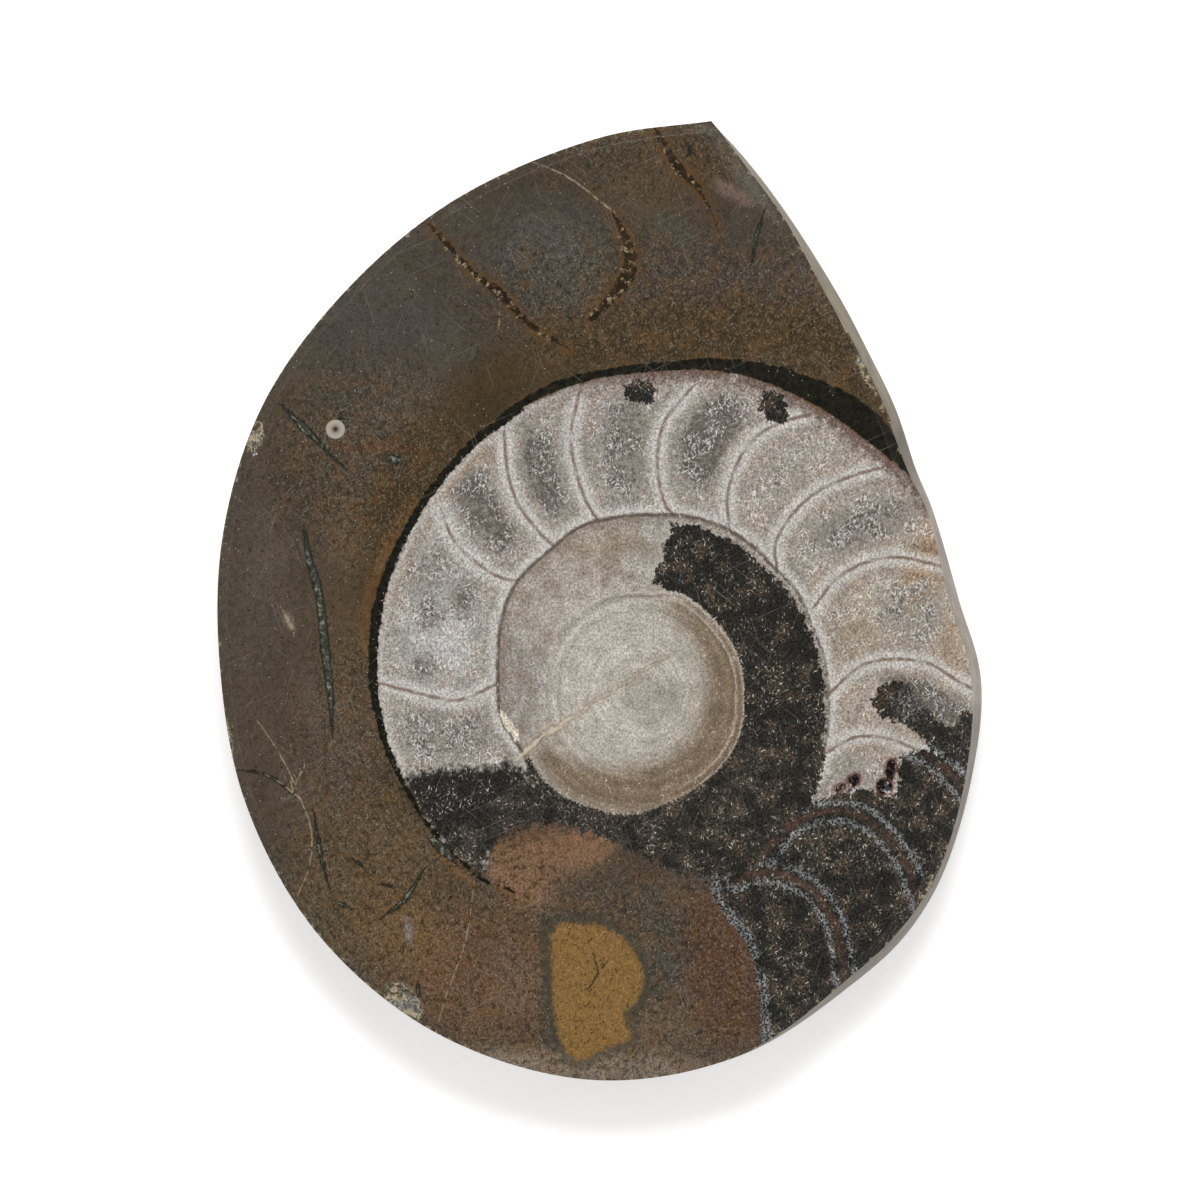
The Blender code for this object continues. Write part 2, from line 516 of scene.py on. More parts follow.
    def shell_region(self) -> Region:
        """Returns the part of the face that is chambered shell, out past the slab's right edge."""
        body_side = [
            (-10.9, -25.9), (-10.4, -23.3), (-8.4, -21.8), (-4.4, -21.2), (-0.8, -21.9),
            (1.9, -23.0), (5.2, -24.7), (8.6, -25.9), (12.0, -26.0), (15.0, -24.9), (13.0, -26.8),
            (11.1, -27.2), (11.3, -29.0), (12.4, -30.4), (13.8, -31.9),
            (14.8, -34.0), (15.5, -36.4), (15.7, -39.3), (16.4, -50.0), (45.0, -50.0),
            (45.0, 9.0),
        ]
        return Region(self.coil[:-2] + body_side, steps=3)

    def black_regions(self) -> list[Region]:
        """Returns the patches of black calcite: blotches, the left fill and the last chambers."""
        last_chambers = [
            (36.9, -10.6), (34.9, -10.9), (34.2, -12.6), (32.4, -12.0), (31.0, -9.8), (29.2, -7.9),
            (26.9, -8.2), (26.2, -9.6), (26.8, -11.0), (29.4, -11.6), (31.3, -13.0), (32.8, -15.0),
            (30.3, -14.9), (28.9, -15.9), (29.2, -17.6), (27.9, -19.3), (25.6, -18.6),
            (23.1, -18.9), (20.8, -19.9), (17.9, -21.6), (14.6, -25.4), (11.1, -27.3),
            (12.3, -30.1),
            (13.9, -31.9), (15.1, -34.6), (15.7, -37.4), (15.9, -40.3), (16.6, -46.0),
            (44.0, -46.0), (44.0, -11.0),
        ]
        return [
            Region(last_chambers, steps=3),
            spot(3.9, 19.9, 3.0, 2.2),
            spot(16.7, 18.5, 2.6, 3.4, 30),
            spot(27.2, 15.3, 1.8, 1.2, -40),
        ]

    def left_fill(self) -> Region:
        """Returns the dark fill at the coil's lower left, which fades into its surroundings."""
        return Region(
            [
                (-18.9, -17.6), (-17.2, -16.7), (-13.7, -16.3), (-10.8, -16.2), (-8.7, -15.9),
                (-7.2, -16.5), (-5.2, -18.4), (-2.0, -20.6), (1.8, -21.1), (4.6, -20.9),
                (6.5, -22.6), (4.0, -23.6), (-0.8, -22.2), (-4.4, -21.5), (-8.2, -22.1),
                (-10.4, -24.0), (-11.6, -26.3), (-13.6, -25.0), (-16.3, -21.8),
            ]
        )

    def inner_black(self, whorl: np.ndarray, disc: np.ndarray, places: np.ndarray) -> np.ndarray:
        """Finds the black fill of the inner whorl: in the whorl, outside the disc, on its right.

        Args:
            whorl: Distance to the inner whorl's outline, negative inside.
            disc: Distance to the disc's outline, negative inside.
            places: The places themselves.

        Returns:
            Distance to the black fill's outline, negative inside.
        """
        light_half = Region(
            [
                (6.4, 10.0), (6.7, 7.2), (6.9, 6.3), (6.0, 5.2), (6.4, 4.0), (5.1, 2.7),
                (5.2, 1.6), (6.6, 0.8), (4.0, -9.0), (-6.8, -15.2), (-14.0, -17.0), (-14.0, 10.0),
            ],
            steps=2,
        )
        inset = np.interp(places[:, 1], (-21.0, -14.0, 0.0, 6.0), (-0.4, 0.25, 0.5, 0.85))
        return np.maximum(np.maximum(whorl + inset, -disc - 0.05), -light_half.distance(places))

    def veins(self) -> list[Stroke]:
        """Returns the veins of black and white crystals with rusty borders."""
        return [
            Stroke([(1.1, 37.4), (2.0, 35.7), (2.8, 33.3), (2.7, 31.4), (1.3, 29.3), (-0.8, 27.1)],
                   (0.25, 0.8, 1.3, 1.5, 1.0, 0.5)),
            Stroke([(5.3, 45.2), (6.3, 43.3), (7.5, 41.5), (9.0, 40.0), (9.9, 38.7), (10.7, 37.2),
                    (11.5, 34.8)], (0.4, 0.7, 1.0, 0.5, 0.15, 0.1)),
            Stroke([(-16.1, 35.7), (-14.0, 33.3), (-11.5, 30.8), (-9.1, 28.9), (-7.2, 26.8),
                    (-5.0, 25.3), (-2.9, 24.0)], (0.5, 0.5, 0.45, 1.1, 0.7, 0.5, 0.15)),
        ]

    def streaks(self) -> list[Stroke]:
        """Returns the green-black streaks that run through the matrix."""
        return [
            Stroke([(-28.4, 6.7), (-27.9, 3.9), (-26.9, 0.2), (-26.4, -4.7), (-25.9, -8.7),
                    (-25.7, -13.1)], (0.35, 0.85, 0.8, 0.95, 0.7, 0.1)),
            Stroke([(-30.6, 18.8), (-28.3, 16.4), (-25.9, 14.0)], (0.15, 0.85, 0.2)),
            Stroke([(-26.0, 13.9), (-24.9, 13.0), (-24.2, 12.3)], (0.3, 0.4, 0.1)),
            Stroke([(15.9, 37.7), (15.1, 35.1), (14.6, 32.5)], (0.1, 0.4, 0.3)),
            Stroke([(-16.9, -25.9), (-18.6, -28.6), (-21.0, -30.6)], (0.15, 0.6, 0.12)),
            Stroke([(-34.7, -16.3), (-32.0, -16.8), (-29.3, -18.8)], (0.15, 0.3, 0.1)),
            Stroke([(-27.5, -20.3), (-26.8, -24.5), (-26.0, -27.6)], (0.2, 0.5, 0.15)),
            Stroke([(-20.0, 13.6), (-19.6, 13.4)], (0.9, 0.9)),
            Stroke([(-24.9, 17.2), (-24.7, 17.2)], (0.5, 0.5)),
            Stroke([(8.2, 44.0), (8.6, 43.2), (8.3, 42.4)], (0.1, 0.3, 0.05)),
            Stroke([(9.2, 44.1), (8.6, 43.2), (9.3, 42.6)], (0.05, 0.25, 0.05)),
            Stroke([(-0.6, -34.0), (-0.3, -36.0), (-1.2, -37.3)], (0.1, 0.16, 0.1)),
            Stroke([(0.5, -34.9), (-0.3, -36.0)], (0.1, 0.12)),
            Stroke([(-24.8, -29.2), (-24.4, -29.4)], (0.5, 0.4)),
            Stroke([(-20.9, -27.3), (-19.9, -27.5)], (0.25, 0.35)),
            Stroke([(-23.3, -25.2), (-22.8, -25.6)], (0.4, 0.2)),
            Stroke([(-17.5, -37.1), (-17.4, -37.9)], (0.4, 0.5)),
            Stroke([(-15.9, -23.2), (-14.8, -24.2), (-13.9, -25.2)], (0.9, 1.1, 0.2)),
        ]

    def pale_cracks(self) -> list[Stroke]:
        """Returns the thin cream cracks in the matrix."""
        return [
            Stroke([(-32.7, -11.8), (-30.4, -15.4), (-28.7, -19.2), (-27.7, -22.2), (-27.9, -25.6),
                    (-29.0, -28.3)], (0.03, 0.1, 0.08, 0.06, 0.05, 0.02)),
            Stroke([(-28.4, -16.0), (-29.3, -17.8)], (0.1, 0.05)),
            Stroke([(-32.4, -16.6), (-30.6, -17.6), (-28.9, -19.0)], (0.02, 0.08, 0.04)),
            Stroke([(-6.3, 42.0), (-3.2, 40.7), (-0.1, 38.4), (1.1, 37.4)],
                   (0.03, 0.08, 0.1, 0.16)),
            Stroke([(-12.1, -27.4), (-12.9, -32.7), (-14.9, -38.4), (-15.8, -41.8)],
                   (0.02, 0.05, 0.03, 0.02)),
            Stroke([(-9.6, 28.3), (-9.7, 26.2)], (0.1, 0.06)),
            Stroke([(-30.4, -1.0), (-29.6, -2.7)], (0.1, 0.35)),
        ]

    def polar_fields(self, places: np.ndarray) -> dict[str, np.ndarray]:
        """Measures every place round the coil's middle, and marks some whole areas.

        Args:
            places: Places in millimetres, two columns.

        Returns:
            Distance from the middle, way round it in millimetres at 20 mm, how far a place lies
            on the upper right side of the disc, how mottled the matrix is, and where the last
            chambers lie.
        """
        offset = places - np.array(self.middle)
        angle = np.arctan2(offset[:, 1], offset[:, 0])
        mottled = [
            spot(-14.0, -33.0, 34, 24, -30), spot(-22.5, -16.0, 9, 22),
            spot(10.0, 27.0, 40, 12, -10), spot(-22.0, 13.0, 14, 16), spot(20.0, 26.0, 10, 16, 30),
            spot(4.0, 44.0, 16, 5), spot(2.0, -37.0, 30, 20),
        ]
        mottle = np.min([region.distance(places) for region in mottled], axis=0)
        last = Region([(9.0, -23.5), (18.0, -17.5), (26.0, -11.5), (40.0, -11.5), (40.0, -50.0),
                       (9.0, -50.0)], 1)
        return {
            "radius": np.hypot(*offset.T),
            "around": (angle + 2.5) % math.tau * 20.0,
            "rim_side": np.cos(angle - math.radians(20.0)),
            "mottle": np.clip(0.75 - mottle / 8.0, 0.15, 1.0),
            "last": np.clip(0.5 - last.distance(places) / 2.0, 0.0, 1.0),
            "core": self.cores(places),
            "left_fill": self.left_fill().distance(places),
            "hole": self.holes(places),
        }

    def holes(self, places: np.ndarray) -> np.ndarray:
        """Measures every place against the two dark hollows in the last pale chamber."""
        hollows = [
            spot(24.4, -17.3, 1.5, 1.0, 40), spot(23.1, -18.0, 1.3, 0.6, 15),
            spot(27.3, -17.9, 1.7, 1.5), spot(27.9, -16.2, 1.0, 2.0, -12),
        ]
        return np.min([hollow.distance(places) for hollow in hollows], axis=0)

    def cores(self, places: np.ndarray) -> np.ndarray:
        """Finds how smoky the middles of the chambers are, from 0 to 1."""
        smoky = [
            (spot(-13.2, 0.2, 1.4, 2.2), 0.9),
            (spot(-16.4, -1.2, 1.2, 2.4), 0.85),
            (spot(-17.0, -6.4, 1.2, 1.6), 0.85),
            (spot(-16.5, 2.5, 3.0, 5.0, -30), 0.55),
            (spot(-14.5, -12.6, 9.0, 5.0), 0.6),
            (spot(-11.2, 8.8, 3.6, 8.5, 35), 1.0),
            (spot(-5.6, 12.2, 3.2, 8.5, 18), 0.95),
            (spot(2.6, 15.0, 4.4, 9.0, 0), 0.75),
            (spot(10.8, 15.4, 5.4, 8.6, -24), 1.0),
            (spot(17.6, 12.6, 5.0, 6.0, -45), 0.3),
            (spot(25.0, 7.2, 10.0, 3.4, 20), 0.7),
            (spot(30.0, -1.2, 6.0, 5.0), 0.45),
            (spot(22.8, -3.2, 2.5, 5.0), 0.3),
            (spot(31.4, -9.0, 9.0, 4.0, -35), 1.0),
            (spot(23.6, -16.6, 5.0, 3.0), 0.4),
        ]
        core = np.zeros(len(places))
        for region, strength in smoky:
            cover = np.clip(0.75 - region.distance(places) / 2.4, 0.0, 1.0)
            core = np.maximum(core, strength * cover)
        return core

    def disc_seams(self) -> list[Stroke]:
        """Returns the cream crack across the disc."""
        return [
            Stroke([(-7.7, -15.0), (-6.4, -13.9), (-5.4, -12.9), (-4.6, -12.7), (-3.3, -11.6),
                    (-1.8, -10.9), (-0.9, -9.9), (-0.1, -9.4), (1.0, -8.9), (1.8, -8.2),
                    (2.8, -7.8), (3.8, -6.9), (5.0, -6.3), (6.7, -5.3)],
                   (0.45, 0.4, 0.35, 0.2, 0.16, 0.14, 0.12, 0.02)),
            Stroke([(-5.8, -13.2), (-4.4, -12.4), (-3.4, -12.2)], (0.2, 0.55, 0.1)),
        ]

    def septum_field(self, places: np.ndarray) -> tuple[np.ndarray, np.ndarray]:
        """Measures every place against the chambers' walls.

        The sign changes at each wall and nowhere else, so that a thin line can be drawn where it
        passes zero.

        Args:
            places: Places in millimetres, two columns.

        Returns:
            Signed distance to the nearest wall, and millimetres along it.
        """
        nearest = np.full(len(places), 1e3)
        signed = np.full(len(places), 1e3)
        run = np.zeros(len(places))
        for number, path in enumerate(self.septa):
            curve = smooth_path(path)
            near, _ = near_box(curve, places, FIELD_REACH)
            away, side, share = nearest_on(curve, places[near])
            closer = away < nearest[near]
            rows = np.flatnonzero(near)[closer]
            nearest[rows] = away[closer]
            signed[rows] = (away * side)[closer] * (1 if number % 2 else -1)
            length = np.hypot(*np.diff(curve, axis=0).T).sum()
            run[rows] = share[closer] * length + 40.0 * number
        return signed, run

    def line_fields(
        self, name: str, lines: list[Stroke], places: np.ndarray
    ) -> dict[str, np.ndarray]:
        """Measures every place against thin lines.

        Args:
            name: The first word of the fields' names.
            lines: The lines.
            places: Places in millimetres, two columns.

        Returns:
            The distance to the nearest line's middle, with a sign for its side, and the line's
            half width there, which falls below zero away from the line.
        """
        nearest = np.full(len(places), 1e3)
        signed = np.full(len(places), 1e3)
        half = np.full(len(places), -1e3)
        for line in lines:
            path = smooth_path(line.path)
            near, _ = near_box(path, places, 3.0)
            away, side, share = nearest_on(path, places[near])
            closer = away < nearest[near]
            rows = np.flatnonzero(near)[closer]
            nearest[rows] = away[closer]
            signed[rows] = (away * side)[closer]
            spread = np.linspace(0, 1, len(line.widths))
            own_half = np.interp(share[closer], spread, line.widths) / 2
            half[rows] = own_half - 2.0 * np.clip(away[closer] - own_half - 0.5, 0, 2)
        return {name: np.clip(signed, -9, 9), name + "_half": np.clip(half, -4, 4)}

    def fields(self, places: np.ndarray) -> dict[str, np.ndarray]:
        """Measures every place against every curve.

        Args:
            places: Places in millimetres, two columns.

        Returns:
            One array for each named field. Distances are negative inside a form.
        """
        away, side, coil_run = nearest_on(smooth_path(self.coil), places)
        coil = np.where(side > 0, -away, away)
        whorl = Region(self.whorl).distance(places)
        disc = Region(self.disc).distance(places)
        septum, septum_run = self.septum_field(places)
        gaps = np.array([np.abs(septum), np.abs(coil), np.abs(whorl), np.abs(disc)])
        whorl_path = smooth_path(self.whorl, closed=True)
        _, _, whorl_run = nearest_on(whorl_path, places)
        runs = np.array([septum_run, coil_run * 115.0, whorl_run * 115.0, whorl_run * 80.0])
        nearest = gaps.argmin(0)
        rind_gap = Region(self.rind_outer + self.coil[12:0:-1], steps=3)
        rind_line = Stroke(self.coil[10:], (0.9, 0.8, 0.75, 0.85, 1.0, 0.85, 0.6, 0.45, 0.4, 0.3))
        rind = np.minimum(rind_gap.distance(places), rind_line.distance(places))
        black = np.min([region.distance(places) for region in self.black_regions()], axis=0)
        black = np.minimum(black, self.inner_black(whorl, disc, places))
        ochre = Region(
            [
                (-4.3, -31.4), (-1.2, -31.1), (1.5, -31.9), (3.1, -33.6), (4.2, -36.0),
                (3.5, -38.6), (2.3, -39.7), (2.9, -42.0), (0.4, -43.1), (-1.9, -44.2),
                (-3.3, -43.3), (-4.3, -40.0), (-4.6, -35.7),
            ]
        ).distance(places)
        return {
            "coil": coil,
            "coil_run": coil_run,
            "wall_gap": gaps.min(0),
            "wall_run": np.take_along_axis(runs, nearest[None], 0)[0],
            "rind": rind,
            "shell": self.shell_region().distance(places),
            "whorl": whorl,
            "disc": disc,
            "septum": septum,
            "black": black,
            **self.polar_fields(places),
            "ochre": ochre,
            **self.line_fields("vein", self.veins(), places),
            **self.line_fields("streak", self.streaks(), places),
            **self.line_fields("crack", self.pale_cracks(), places),
            **self.line_fields("seam", self.disc_seams(), places),
        }

    def ground_tints(self) -> list[Tint]:
        """Returns the stains of the matrix and of the body chamber, in the order they are laid."""
        above_coil = [
            (27.0, 19.0), (20.0, 25.0), (8.0, 25.5), (-6.0, 23.0), (-14.0, 16.5), (-20.5, 7.5),
            (-23.6, -2.0), (-23.8, -11.0), (-20.5, -19.5),
        ]
        return [
            Tint(spot(7.0, 42.0, 12, 8), (80, 65, 49), 0.7, 6),
            Tint(spot(-2.0, 41.6, 12, 4, 20), (66, 58, 48), 0.6, 3),
            Tint(spot(-19.0, 28.0, 22, 14, 35), (76, 73, 67), 0.8, 9),
            Tint(spot(12.0, 31.0, 18, 10), (72, 65, 59), 0.8, 7),
            Tint(spot(-9.0, 29.0, 26, 9, -28), (74, 66, 58), 0.6, 4),
            Tint(spot(-5.3, 33.7, 12, 11), (70, 69, 63), 0.8, 3),
            Tint(Stroke(spot(-5.3, 33.9, 8.2, 7.8).outline + [(-1.2, 33.9)], (0.3, 0.3)),
                 (62, 58, 50), 0.5, 0.7),
            Tint(spot(-5.3, 33.9, 7.6, 7.2), (77, 74, 68), 0.85, 0.7),
            Tint(Stroke([(-2.4, 36.4), (-0.4, 33.6), (-2.0, 30.7)], (0.3, 0.4, 0.3)),
                 (84, 84, 78), 0.5, 0.5),
            Tint(Stroke(above_coil, (6.0, 7.0, 6.0, 6.0, 5.0, 4.0)), (71, 58, 40), 0.85, 4),
            Tint(spot(-33.0, 2.0, 6, 22), (85, 77, 70), 0.8, 6),
            Tint(spot(-27.0, -14.0, 14, 18), (86, 75, 65), 0.8, 8),
            Tint(spot(-24.6, 0.0, 4, 18), (92, 77, 62), 0.8, 4),
            Tint(spot(-21.5, -26.0, 14, 12, -50), (92, 77, 58), 0.85, 8),
            Tint(spot(-18.0, -33.0, 13, 8, -45), (110, 86, 60), 0.8, 6),
            Tint(spot(-10.5, -36.0, 14, 13), (102, 78, 61), 0.9, 6),
            Tint(spot(-4.0, -45.6, 30, 5), (116, 101, 86), 0.9, 3),
            Tint(spot(13.0, -44.0, 16, 3, 14), (112, 98, 88), 0.6, 2.5),
            Tint(Stroke([(-17.8, 9.6), (-20.6, 4.6), (-22.5, -1.0), (-22.7, -5.4)],
                        (0.6, 1.2, 1.1, 0.4)), (108, 77, 47), 0.65, 1.0),
            Tint(Stroke([(-25.6, 14.9), (-23.1, 14.5), (-19.6, 14.7), (-15.4, 13.7)],
                        (0.5, 0.6, 0.5, 0.4)), (88, 55, 42), 0.75, 0.6),
            Tint(Stroke([(-15.6, -24.0), (-14.0, -25.8), (-11.8, -27.6)], (0.7, 0.9, 0.4)),
                 (122, 86, 50), 0.6, 0.7),
            Tint(spot(12.7, 39.1, 4.8, 1.4, -32), (116, 96, 86), 0.85, 0.6),
            Tint(spot(-18.4, -31.6, 0.8, 2.8, 6), (116, 110, 106), 0.9, 0.5),
            Tint(spot(-29.8, -2.1, 0.7, 2.0, 25), (126, 116, 106), 0.7, 0.5),
            Tint(spot(6.9, 35.6, 4.0, 2.4, -20), (72, 76, 66), 0.5, 2),
            Tint(Stroke([(8.6, 45.4), (10.8, 45.0), (13.6, 41.0), (17.0, 36.2)],
                        (0.9, 1.6, 1.5, 0.7)), (104, 99, 90), 0.6, 1.2),
        ]

    def body_tints(self) -> list[Tint]:
        """Returns the stains of the mud-filled body chamber, laid over the matrix's own."""
        body = Region(
            [
                (-10.4, -26.6), (-10.4, -23.2), (-5.0, -21.0), (0.0, -22.0), (6.0, -24.6),
                (11.0, -26.4), (12.6, -31.0), (15.4, -38.0), (15.0, -44.5), (4.0, -47.0),
                (-4.0, -46.0), (-5.3, -38.0), (-4.8, -31.0), (-8.0, -28.4),
            ]
        )
        orange = Region(
            [
                (-11.2, -25.5), (-10.8, -23.3), (-8.7, -21.8), (-4.4, -21.2), (-0.8, -21.6),
                (1.8, -22.6), (0.0, -25.5), (-2.9, -27.3), (-4.4, -28.4), (-5.1, -29.8),
                (-8.0, -29.0),
            ]
        )
        return [
            Tint(body, (82, 71, 61), 0.95, 1.2),
            Tint(orange, (126, 97, 75), 0.95, 1.8),
            Tint(spot(1.5, -28.6, 13, 4.5, -12), (76, 69, 61), 0.8, 3),
            Tint(spot(12.0, -35.5, 7, 15, 8), (88, 64, 53), 0.9, 4),
            Tint(spot(-5.1, -36.0, 1.3, 16, 2), (70, 66, 58), 0.7, 1.2),
            Tint(spot(5.9, -34.6, 4.5, 7), (72, 70, 64), 0.8, 3),
            Tint(spot(4.5, -42.0, 8, 5, 20), (108, 92, 74), 0.7, 3),
            Tint(spot(-4.0, -45.4, 30, 4.4), (127, 113, 99), 0.9, 2),
            Tint(spot(-8.2, -36.5, 5, 7), (106, 92, 80), 0.4, 3),
            Tint(spot(-8.0, -21.9, 14, 2.4, 4), (84, 66, 54), 0.6, 1.5),
        ]

    def spar_tints(self) -> list[Tint]:
        """Returns the stains of the pale calcite in the shell."""
        return [
            Tint(spot(-15.5, 0.0, 10, 20), (160, 158, 153), 0.8, 6),
            Tint(spot(-15.4, -3.6, 5.0, 7.5, 10), (178, 178, 175), 0.7, 3),
            Tint(spot(1.0, 14.0, 20, 12), (148, 142, 135), 0.7, 8),
            Tint(spot(20.0, 13.0, 18, 12), (158, 149, 140), 0.7, 8),
            Tint(spot(28.0, 0.0, 14, 14), (162, 152, 140), 0.8, 8),
            Tint(spot(27.0, -9.0, 14, 8), (160, 149, 138), 0.8, 6),
            Tint(spot(31.6, 4.0, 4.0, 11.0, -22), (150, 122, 92), 0.75, 2.4),
            Tint(spot(34.0, -4.0, 3.0, 8.0, -10), (156, 134, 108), 0.7, 2),
            Tint(spot(24.4, -2.8, 4.0, 6.0), (154, 136, 114), 0.6, 3),
            Tint(spot(-19.3, 4.0, 3.0, 12.0, -22), (150, 134, 116), 0.6, 2.5),
            Tint(spot(-13.0, 12.0, 8.0, 2.6, 42), (146, 126, 108), 0.6, 2),
            Tint(spot(27.0, -13.6, 12.0, 1.6, 4), (128, 106, 84), 0.6, 1),
            Tint(spot(-6.5, -8.0, 7, 16, 5), (146, 139, 132), 0.9, 4),
            Tint(spot(-3.5, 1.0, 14, 10, 35), (163, 155, 146), 0.9, 5),
            Tint(spot(0.5, 5.2, 8.0, 2.6, 6), (150, 134, 116), 0.6, 2),
            Tint(Region(self.disc), (172, 164, 152), 0.95, 2.6),
            Tint(spot(1.4, -7.6, 12, 14), (186, 179, 169), 0.85, 5),
            Tint(spot(4.8, -9.2, 5, 5), (150, 144, 134), 0.6, 3),
            Tint(Stroke([(7.5, -0.9), (10.2, -3.2), (12.0, -6.5), (12.3, -10.0), (11.0, -14.2),
                         (7.4, -17.2), (2.4, -18.4), (-2.6, -17.2), (-5.0, -15.2)],
                        (1.4, 2.8, 4.2, 4.8, 5.0, 4.4, 4.2, 3.6, 2.0)), (118, 98, 77), 0.85, 2.4),
            Tint(Stroke([(5.0, -25.2), (8.6, -26.6), (11.7, -26.6), (15.6, -25.0), (18.7, -21.7),
                         (20.9, -18.0)], (2.6, 3.0, 2.4, 1.8, 1.6, 1.0)), (104, 88, 77), 0.9, 0.9),
        ]

    def paint(self, places: np.ndarray) -> dict[str, np.ndarray]:
        """Lays the stains for every place.

        Args:
            places: Places in millimetres, two columns.

        Returns:
            Linear colours of the matrix with the body chamber, and of the pale calcite.
        """
        ground = np.tile(np.array(albedo((77, 68, 57))[:3]), (len(places), 1))
        for tint in self.ground_tints() + self.body_tints():
            ground = tint.lay(ground, places)
        spar = np.tile(np.array(albedo((158, 151, 143))[:3]), (len(places), 1))
        for tint in self.spar_tints():
            spar = tint.lay(spar, places)
        return {"ground": ground, "spar": spar}


class Recipe:
    """Builds a material's nodes one call at a time."""

    def __init__(self, name: str) -> None:
        """Starts a material with a Principled shader.

        Args:
            name: The material's name.
        """
        self.material = bpy.data.materials.new(name)
        self.material.use_nodes = True
        self.tree = self.material.node_tree
        self.shader = self.tree.nodes["Principled BSDF"]
        place = self.tree.nodes.new("ShaderNodeTexCoord").outputs["Object"]
        self.mm = self.vector("MULTIPLY", place, (1000, 1000, 1000))
        self.kept: dict[tuple, object] = {}

    def feed(self, socket: bpy.types.NodeSocket, value: object) -> None:
        """Links a socket's source, or sets its value. A word names a pattern or a field."""
        if isinstance(value, str):
            value = self.source(value)
        if isinstance(value, bpy.types.NodeSocket):
            self.tree.links.new(value, socket)
        else:
            socket.default_value = value

    def vector(self, operation: str, first: object, second: object) -> bpy.types.NodeSocket:
        """Adds a vector sum and returns its result."""
        node = self.tree.nodes.new("ShaderNodeVectorMath")
        node.operation = operation
        self.feed(node.inputs[0], first)
        self.feed(node.inputs[1], second)
        return node.outputs["Value" if operation in ("DISTANCE", "DOT_PRODUCT") else "Vector"]

    def math(self, operation: str, first: object, second: object = 0.0) -> bpy.types.NodeSocket:
        """Adds a sum and returns its result."""
        node = self.tree.nodes.new("ShaderNodeMath")
        node.operation = operation
        self.feed(node.inputs[0], first)
        self.feed(node.inputs[1], second)
        return node.outputs[0]

    def chain(self, operation: str, values: tuple) -> object:
        """Joins several values by one sum after another."""
        result = values[0]
        for value in values[1:]:
            result = self.math(operation, result, value)
        return result

    def product(self, *values: object) -> object:
        """Multiplies several values."""
        return self.chain("MULTIPLY", values)

    def total(self, *values: object) -> object:
        """Adds several values."""
        return self.chain("ADD", values)

    def largest(self, *values: object) -> object:
        """Finds the largest of several values."""
        return self.chain("MAXIMUM", values)

    def attribute(self, name: str, output: str = "Fac") -> bpy.types.NodeSocket:
        """Reads what the mesh's vertices hold, a number by Fac or a colour by Color."""
        if ("attribute", name) not in self.kept:
            node = self.tree.nodes.new("ShaderNodeAttribute")
            node.attribute_name = name
            self.kept["attribute", name] = node
        return self.kept["attribute", name].outputs[output]

    def noise(
        self, per_mm: float, detail: float, place: object = None, sides: str = "2D"
    ) -> bpy.types.NodeSocket:
        """Adds a noise pattern, or finds the same one again.

        Args:
            per_mm: How many lumps there are in a millimetre.
            detail: How many finer layers it has.
            place: The coordinates, or None for millimetres on the object.
            sides: 1D, 2D or 3D.

        Returns:
            Its value, about 0.5 on average.
        """
        key = ("noise", per_mm, detail, place, sides)
        if key not in self.kept:
            node = self.tree.nodes.new("ShaderNodeTexNoise")
            node.noise_dimensions = sides
            node.inputs["Scale"].default_value = per_mm
            node.inputs["Detail"].default_value = detail
            node.inputs["Roughness"].default_value = NOISE_ROUGHNESS
            target = node.inputs["W" if sides == "1D" else "Vector"]
            self.feed(target, self.mm if place is None else place)
            self.kept[key] = node.outputs["Fac"]
        return self.kept[key]

    def source(self, name: str) -> bpy.types.NodeSocket:
        """Finds what a word stands for: a pattern, or else a number that the vertices hold."""
        if name == "crystals":
            return self.crystals()
        if name in PATTERNS:
            return self.noise(*PATTERNS[name])
        return self.attribute(name)

    def fibre(self, degrees: float) -> bpy.types.NodeSocket:
        """Returns a fine grain drawn out along one direction, like packed crystal needles."""
        key = ("fibre", degrees)
        if key not in self.kept:
            angle = math.radians(degrees)
            along = self.vector("DOT_PRODUCT", self.mm, (math.cos(angle), math.sin(angle), 0.0))
            across = self.vector("DOT_PRODUCT", self.mm, (-math.sin(angle), math.cos(angle), 0.0))
            self.kept[key] = self.join(
                self.product(along, FIBRES_ALONG), self.product(across, FIBRES_ACROSS)
            )
        return self.noise(1.0, 1, self.kept[key])

    def crystals(self) -> bpy.types.NodeSocket:
        """Returns crystal needles that lie across each other, about 0.6 on average."""
        key = ("crystals",)
        if key not in self.kept:
            self.kept[key] = self.largest(*[self.fibre(way) for way in CRYSTAL_WAYS])
        return self.kept[key]

    def cells(self, per_mm: float, place: object = None) -> tuple:
        """Scatters cells, and returns the distance to the nearest and its own random value."""
        key = ("cells", per_mm, place)
        if key not in self.kept:
            node = self.tree.nodes.new("ShaderNodeTexVoronoi")
            node.voronoi_dimensions = "2D"
            node.inputs["Scale"].default_value = per_mm
            self.feed(node.inputs["Vector"], self.mm if place is None else place)
            split = self.tree.nodes.new("ShaderNodeSeparateColor")
            self.tree.links.new(node.outputs["Color"], split.inputs[0])
            self.kept[key] = (node.outputs["Distance"], split.outputs[0])
        return self.kept[key]

    def fade(self, value: object, low: float, high: float) -> bpy.types.NodeSocket:
        """Goes smoothly from 0 at low to 1 at high. Low may be the larger."""
        node = self.tree.nodes.new("ShaderNodeMapRange")
        node.interpolation_type = "SMOOTHSTEP"
        self.feed(node.inputs["Value"], value)
        node.inputs["From Min"].default_value = low
        node.inputs["From Max"].default_value = high
        return node.outputs["Result"]

